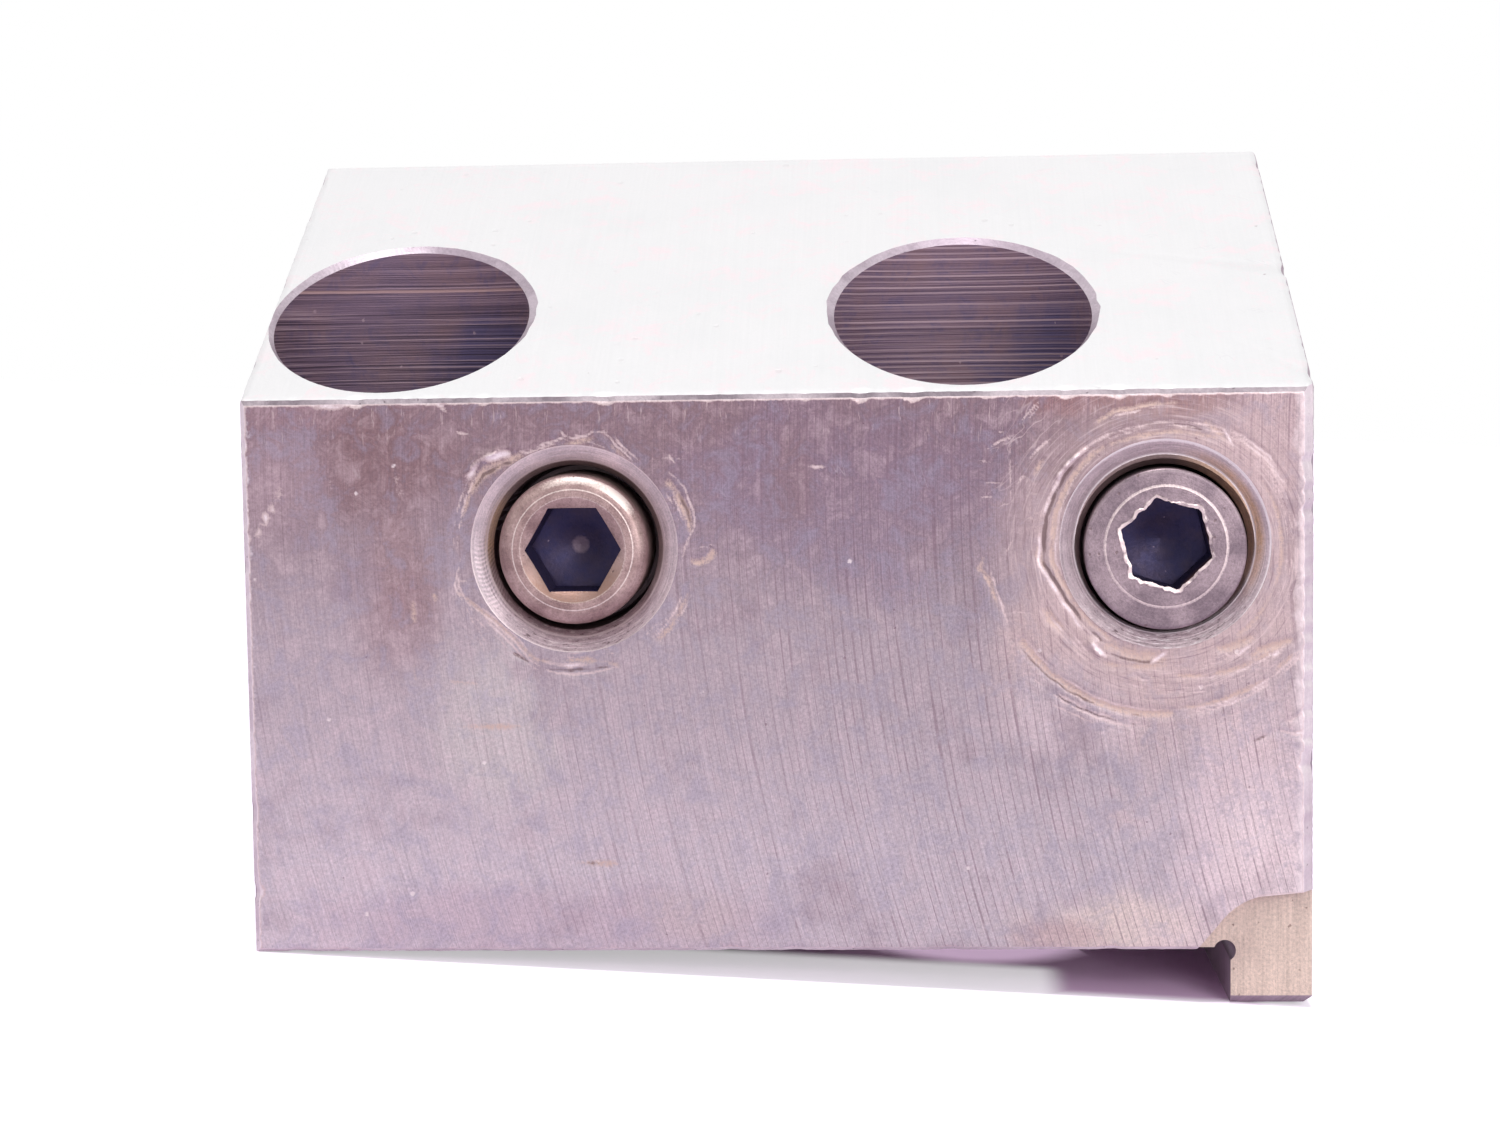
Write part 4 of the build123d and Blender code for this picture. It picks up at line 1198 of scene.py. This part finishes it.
def smoothFaces(bm, sharpAngle, joinAngle):
    # Smooth, but sharp at edges over the first angle, and over the second between two materials
    for face in bm.faces:
        face.smooth = True
    for edge in bm.edges:
        if len(edge.link_faces) == 2:
            first, second = (face.material_index for face in edge.link_faces)
            if edge.calc_face_angle(0.0) > math.radians(sharpAngle if first == second else joinAngle):
                edge.smooth = False


def wearFaces(bm):
    layers = [bm.verts.layers.float.new(name) for name in ("bare", "tan", "dark")]
    for vert in bm.verts:
        point = vert.co / mm
        wear = [0.0, 0.0, 0.0]
        names = {finishes[face.material_index].name for face in vert.link_faces}
        moved = wearMouth(point.copy(), names)
        if "frontSteel" in names and not names & {"leftRingSteel", "rightRingSteel"}:
            depth, *wear = frontMarks(point.x, point.z)
            moved.y += depth
            if names & {"sideSteel", "lipSteel"} and 20 < point.x < rightX - 1 and 0.2 < point.z < 14:
                # the thin bright line round the milled recess
                wear[0] = 0.85
        if point.z > -0.5:
            moved, edgeBare = planeEdges(moved)
            wear[0] = max(wear[0], edgeBare)
        vert.co = moved * mm
        for layer, value in zip(layers, wear):
            vert[layer] = value
    smoothFaces(bm, 30, 8)


dressedBlock = buildBlock()
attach(dressedBlock, "block")
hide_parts("block")


# Clamp screws

# What both screws have, then each one's own
screwShape = {
    "segments": 120, "flats": 7.94, "socketDepth": 6.0, "pointDepth": 1.2,
    "threadRadius": 4.7625, "threadPitch": 1.5875, "threadDepth": 0.85, "threadLength": 20.0,
}
screws = {
    "left": {
        "node": "left_cap_screw", "slot": "left_screw_steel", "place": (leftClampX, leftClampZ),
        "headDepth": 9.5, "roundRadius": 1.3, "ringRadius": 5.75, "ringDrop": 0.05, "ringWidth": 0.03,
        "mouthRadius": 5.0, "turn": 0.0, "socketShift": (0.0, 0.0), "burr": 0.0,
        # bare: the colour of bare metal, and of the painted highlight on the shoulder
        "light": (180, 154, 150), "dull": (146, 120, 118), "bare": (236, 220, 214),
    },
    "right": {
        "node": "right_cap_screw", "slot": "right_screw_steel", "place": (rightClampX, rightClampZ),
        "headDepth": 8.1, "roundRadius": 0.3, "ringRadius": 5.8, "ringDrop": 0.08, "ringWidth": 0.16,
        "mouthRadius": 4.75, "turn": -17.0, "socketShift": (0.1, 0.5), "burr": 0.16,
        "light": (160, 142, 148), "dull": (128, 112, 120), "bare": (232, 214, 212),
    },
}


def hexReach(flats, angle, turn):
    # Distance from the middle of a hexagon to its side, in a direction
    local = (math.degrees(angle) - turn) % 60 - 30
    return flats / 2 / math.cos(math.radians(local))


def makeScrewSteel(side):
    spec = screws[side]
    bench = MaterialBench(side + "ScrewSteel")
    cloud, hue, grain = bench.mottle(3.0, 0.22)
    radius, turn = bench.around(*spec["place"])
    lines = bench.lines(radius, bench.times(turn, 0.006), 0.12, 10.0, 1.5)["Lines"]
    tone = bench.tint(spec["light"], spec["dull"], bench.spread(cloud, 0.4, 0.62))
    tone = bench.shade(tone, bench.swing(lines, 0.25, bench.swing(grain, 1.2, 1.0)))
    if side == "left":
        # golden grains on the chamfer below the socket
        below = bench.times(bench.math("SINE", turn), -1.0)
        chamfer = bench.times(bench.span(radius, 5.15, 5.0), bench.spread(below, 0.1, 0.7))
        tone = bench.tint(tone, (150, 118, 106), chamfer, bench.spread(grain, 0.35, 0.6, 0.5, 1.0))
    # bare metal, and on the left head's shoulder a painted highlight, both from the bare layer
    bare = bench.swing(grain, 0.7, bench.attribute("bare"))
    tone = bench.tint(tone, spec["bare"], bench.spread(bare, 0.3, 0.85))
    pit = bench.specks(0.9, 0.14, 0.4)
    tone = bench.tint(tone, (100, 78, 76), pit, 0.5)
    height = bench.plus(bench.times(lines, 0.4), (grain, 1.2), (pit, -1.0))
    return bench.finish(tone, height, (0.32, 0.5), 0.75, 0.02)


def makeSocketSteel():
    bench = MaterialBench("socketSteel")
    x, y, z = bench.separate(bench.where)
    cloud, hue, grain = bench.mottle(2.0)
    tone = bench.tint((40, 34, 76), (54, 42, 72), bench.spread(cloud, 0.4, 0.62))
    # the pale pip in the middle of the left socket's floor
    radius = bench.plus(bench.around(leftClampX, leftClampZ)["Radius"], (grain, 0.0003))
    tone = bench.tint(tone, (128, 108, 122), bench.span(radius, 0.8, 1.1, 0.65, 0.0))
    # rust inside the right socket's mouth, on its right side
    rustY = bench.span(y, frontY + 0.2, frontY + 2.6, 0.85, 0.0)
    tone = bench.tint(tone, (132, 92, 70), rustY, bench.span(x, rightClampX + 1.0, rightClampX + 2.4))
    tone = bench.tint(tone, (150, 130, 150), bench.specks(1.1, 0.1, 0.3), 0.5)
    return bench.finish(tone, grain, (0.35, 0.5), 0.5, 0.02)


socketSteel = makeSocketSteel()


def buildScrew(side):
    spec = {**screwShape, **screws[side]}
    low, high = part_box(spec["node"])
    low, high = low / mm, high / mm
    centreX, centreZ = (low.x + high.x) / 2, (low.z + high.z) / 2
    headRadius = (high.x - low.x) / 2
    headTop, tip = low.y, high.y
    headSeat = headTop + spec["headDepth"]
    bm = bmesh.new()
    bareAndHighlightLayer = bm.verts.layers.float.new("bare")

    ring = bmesh.ops.create_circle(bm, cap_ends=False, segments=spec["segments"], radius=1.0)["verts"]
    for vert in ring:
        vert.co = Vector((vert.co.x, 0, vert.co.y))
    state = {"ring": ring, "edges": list(bm.edges), "centre": Vector((0, 0))}

    def placeRing(reach, depth, bare=0.0, shift=(0.0, 0.0), extrude=True, material=0):
        # Next ring of the screw: reach, depth and bare are numbers or functions of the angle
        if extrude:
            result = bmesh.ops.extrude_edge_only(bm, edges=state["edges"])["geom"]
            verts = [item for item in result if isinstance(item, bmesh.types.BMVert)]
            state["edges"] = [
                item for item in result
                if isinstance(item, bmesh.types.BMEdge) and all(vert in set(verts) for vert in item.verts)
            ]
            for face in (item for item in result if isinstance(item, bmesh.types.BMFace)):
                face.material_index = material
            state["ring"] = verts
        for vert in state["ring"]:
            angle = math.atan2(vert.co.z - state["centre"][1], vert.co.x - state["centre"][0])
            radius = reach(angle) if callable(reach) else reach
            down = depth(angle) if callable(depth) else depth
            vert.co = Vector((shift[0] + radius * math.cos(angle), down, shift[1] + radius * math.sin(angle)))
            vert[bareAndHighlightLayer] = bare(angle) if callable(bare) else bare
        state["centre"] = Vector(shift)

    def placeWall(reach, depth):
        placeRing(reach, depth, shift=spec["socketShift"], material=1)

    def hexagon(angle):
        return hexReach(spec["flats"], angle, spec["turn"])

    def chamferDepth(angle):
        return headTop + (spec["mouthRadius"] - hexagon(angle)) / 2

    def torn(angle, size, seed):
        return rough(math.cos(angle) * 4, math.sin(angle) * 4, size, seed)

    def burrRise(angle):
        return spec["burr"] * clamp01(0.6 + torn(angle, 0.7, 31.0))

    def mouth(angle):
        # the socket's worn outline, pushed in and torn
        return hexagon(angle) - 0.12 + 0.22 * torn(angle, 1.3, 43.0) + 0.12 * torn(angle, 0.4, 47.0)

    def burrReach(angle):
        return mouth(angle) + 0.25 + 0.3 * torn(angle, 0.9, 37.0) + 0.14 * torn(angle, 0.35, 39.0)

    def burrShine(angle):
        return clamp01(0.85 - 0.3 * math.cos(angle) + 0.9 * torn(angle, 0.5, 51.0))

    shift = spec["socketShift"]
    ringDrop = spec["ringDrop"]
    shoulder = spec["roundRadius"]

    def shine(angle):
        # painted highlight on the upper right of the left head's shoulder, laid into the bare layer
        turn = math.degrees(angle)
        return 0.6 * inWindow(turn, 30, 118, 20) + 0.4 * inWindow(turn, 36, 62, 10) if side == "left" else 0.0

    # socket bottom, its walls and its mouth
    socketFloor = headTop + spec["socketDepth"]
    placeRing(0.05, socketFloor + spec["pointDepth"], shift=shift, extrude=False)
    bmesh.ops.contextual_create(bm, geom=state["edges"], mat_nr=1)
    placeWall(spec["flats"] / 4, socketFloor + spec["pointDepth"] / 2)
    placeWall(spec["flats"] / 2 - 0.05, socketFloor)
    placeWall(hexagon, socketFloor)
    placeWall(hexagon, headTop + 3.0)
    if spec["burr"]:
        placeWall(hexagon, headTop + 0.55)
        placeRing(mouth, lambda angle: headTop + 0.12 - burrRise(angle), burrShine, shift)
        placeRing(burrReach, lambda angle: headTop + 0.03 - burrRise(angle) * 0.8, burrShine, shift)
        placeRing(lambda angle: burrReach(angle) + 0.12, headTop + 0.04, 0.35, shift)
        placeRing(lambda angle: burrReach(angle) + 0.22, headTop + 0.04, 0.0, shift)
    else:
        placeWall(hexagon, lambda angle: chamferDepth(angle) + 0.04)
        placeRing(lambda angle: hexagon(angle) + 0.04, chamferDepth, 0.15, shift)
        placeRing(spec["mouthRadius"] - 0.1, headTop + 0.05, 0.05, shift)
        placeRing(spec["mouthRadius"], headTop, 0.5, shift)
        placeRing(spec["mouthRadius"] + 0.12, headTop, 0.3, shift)

    # face of the head with its turned ring, the shoulder and the side
    half = (shift[0] * 0.5, shift[1] * 0.5)
    ringRadius = spec["ringRadius"]
    placeRing(ringRadius - spec["ringWidth"] - 0.09, headTop + 0.02, 0.0, half)
    placeRing(ringRadius - spec["ringWidth"], headTop + 0.02, 0.75, half)
    placeRing(ringRadius + 0.05, headTop + ringDrop, 0.5, half)
    placeRing(ringRadius + 0.12, headTop + ringDrop, 0.0, half)
    flatReach = headRadius - shoulder
    if flatReach > ringRadius + 0.6:
        placeRing(flatReach - 0.1, headTop + ringDrop, 0.0)
    for step in range(1, 9):
        angle = math.radians(90 * step / 8)
        reach = flatReach + shoulder * math.sin(angle)
        depth = headTop + ringDrop + (shoulder - ringDrop) * (1 - math.cos(angle))
        # the middle shoulder rings of the left head take the painted highlight
        placeRing(reach, depth, shine if 1 < step < 6 else 0.25 * (side == "right" and step > 5))
    placeRing(headRadius, headSeat - 0.2)
    placeRing(headRadius - 0.2, headSeat)
    placeRing(spec["threadRadius"] + 0.35, headSeat)
    placeRing(spec["threadRadius"] - 0.02, headSeat + 0.4)

    # plain shank, rolled thread and pointed tip
    threadStart = tip - spec["threadLength"]
    placeRing(spec["threadRadius"] - 0.02, threadStart)
    rows = int(spec["threadLength"] / spec["threadPitch"] * 6)
    for row in range(1, rows + 1):
        depth = threadStart + (tip - threadStart) * row / rows

        def threadReach(angle, depth=depth):
            phase = (depth / spec["threadPitch"] - angle / (2 * math.pi)) % 1.0
            groove = 1 - abs(phase - 0.5) * 2
            fade = ramp(depth, threadStart, threadStart + 1.2)
            tipCut = ramp(tip - depth, 1.0, 0.0)
            return spec["threadRadius"] - 0.02 - max(spec["threadDepth"] * groove * fade, tipCut)

        placeRing(threadReach, depth)
    placeRing(2.0, tip)
    bmesh.ops.contextual_create(bm, geom=state["edges"], mat_nr=0)

    bmesh.ops.translate(bm, verts=bm.verts, vec=(centreX, 0, centreZ))
    bmesh.ops.scale(bm, verts=bm.verts, vec=(mm, mm, mm))
    bmesh.ops.remove_doubles(bm, verts=bm.verts, dist=1e-7)
    bmesh.ops.recalc_face_normals(bm, faces=bm.faces)
    smoothFaces(bm, 35, 35)
    piece = addPiece(side + "Screw", bm, [makeScrewSteel(side), socketSteel])
    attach(piece, side + "_screw")
    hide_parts(spec["node"])


print("Building the screws")
for side in screws:
    buildScrew(side)

print("Finishing the plugs")
plugSteel = makePlainSteel("plugSteel")
for name, node in frame["nodes"].items():
    if name.endswith("_plug"):
        node.data.materials.clear()
        node.data.materials.append(plugSteel)


# Floor, light and camera

studio = {
    "floorTilt": 3.352,
    "floorPoint": (43.1, -5.5),
    "floorSize": 3.0,
    "floorTone": (246, 234, 251),
    # the purple tint of the floor inside the painted shadow boxes
    "shadowTintTone": (255, 222, 255),
    "floorGlow": 0.45,
    # boxes under the block and beside the lip where the glow is left out, a painted shadow
    "paintedShadowGaps": [
        {"middle": (-3.5, 7.0), "half": (42.0, 15.5), "fade": (0.0, 4.0)},
        {"middle": (36.0, 0.0), "half": (7.6, 18.5), "fade": (0.0, 3.5)},
    ],
    "skyForObject": 0.42,
    "overhead": {"energy": 1.3, "angle": 4.0, "lean": 11.0},
    "key": {"power": 2.2, "size": 0.4, "place": (0.36, -0.72, 0.3), "aim": (0, 0, 0.03)},
}


def buildFloor():
    bm = bmesh.new()
    bmesh.ops.create_grid(bm, x_segments=8, y_segments=8, size=studio["floorSize"] / 2)
    tilt = Matrix.Rotation(math.radians(studio["floorTilt"]), 4, "Y")
    x, z = studio["floorPoint"]
    bmesh.ops.transform(bm, matrix=Matrix.Translation((x * mm, 0, z * mm)) @ tilt, verts=bm.verts)
    bench = MaterialBench("paleFloor")
    # the backdrop's white for the camera, which stops in boxes under the block where no light gets in: a
    # painted shadow with set edges, on a floor tinted purple there
    part = bench.separate(bench.where)
    glow = 1.0
    for gap in studio["paintedShadowGaps"]:
        outward = []
        for axis in (0, 1):
            away = bench.math("ABSOLUTE", bench.math("SUBTRACT", part[axis], gap["middle"][axis] * mm))
            outward.append(bench.math("SUBTRACT", away, gap["half"][axis] * mm))
        outside = bench.span(bench.math("MAXIMUM", *outward), *gap["fade"], kind="SMOOTHSTEP")
        glow = bench.times(glow, outside)
    seen = bench.put("ShaderNodeLightPath").outputs["Is Camera Ray"]
    for key, value in {
        "Base Color": bench.mixColor(glow, studio["shadowTintTone"], studio["floorTone"]),
        "Roughness": 0.9,
        "Specular IOR Level": 0.1,
        "Emission Color": (255, 255, 255),
        "Emission Strength": bench.times(glow, bench.times(seen, studio["floorGlow"])),
    }.items():
        bench.feed(bench.shader, key, value)
    floor = addPiece("floor", bm, [bench.material])


def lightScene():
    world = bpy.data.worlds.new("studioWorld")
    bpy.context.scene.world = world
    world.use_nodes = True
    bench = NodeBench(world.node_tree)
    background = world.node_tree.nodes["Background"]
    path = bench.put("ShaderNodeLightPath").outputs
    seen = bench.math("MAXIMUM", path["Is Camera Ray"], path["Is Glossy Ray"])
    seen = bench.math("MAXIMUM", seen, path["Is Transmission Ray"])
    bench.feed(background, "Color", (255, 255, 255))
    bench.feed(background, "Strength", bench.spread(seen, 0.0, 1.0, studio["skyForObject"], 1.0))

    sun = bpy.data.lights.new("overhead", "SUN")
    sun.energy = studio["overhead"]["energy"]
    sun.angle = math.radians(studio["overhead"]["angle"])
    addObject("overhead", sun).rotation_euler = (math.radians(studio["overhead"]["lean"]), 0, 0)

    key = bpy.data.lights.new("key", "AREA")
    key.energy = studio["key"]["power"]
    key.size = studio["key"]["size"]
    keyObject = addObject("key", key)
    place = Vector(studio["key"]["place"])
    keyObject.location = place
    keyObject.rotation_euler = (Vector(studio["key"]["aim"]) - place).to_track_quat("-Z", "Y").to_euler()


cameraSetup = {
    "lens": 66.407,
    "sensor": 36.0,
    "place": (12.389, -283.029, 59.972),
    "yaw": -0.055973,
    "pitch": 0.086186,
    "roll": 0.014943,
}


def placeCamera():
    look = cameraSetup
    yaw, pitch, roll = look["yaw"], look["pitch"], look["roll"]
    forward = Vector((math.sin(yaw) * math.cos(pitch), math.cos(yaw) * math.cos(pitch), -math.sin(pitch)))
    right = Vector((math.cos(yaw), -math.sin(yaw), 0))
    down = forward.cross(right)
    rolledRight = right * math.cos(roll) + down * math.sin(roll)
    rolledDown = down * math.cos(roll) - right * math.sin(roll)
    turn = Matrix((rolledRight, -rolledDown, -forward)).transposed()
    data = bpy.data.cameras.new("photoCamera")
    data.sensor_width = look["sensor"]
    data.lens = look["lens"]
    data.clip_start = 0.01
    data.clip_end = 20
    camera = addObject("photoCamera", data)
    camera.matrix_world = Matrix.Translation(Vector(look["place"]) * mm) @ turn.to_4x4()
    bpy.context.scene.camera = camera


print("Placing the floor, the lamps and the camera")
buildFloor()
lightScene()
placeCamera()
bpy.context.scene.view_settings.view_transform = "Standard"
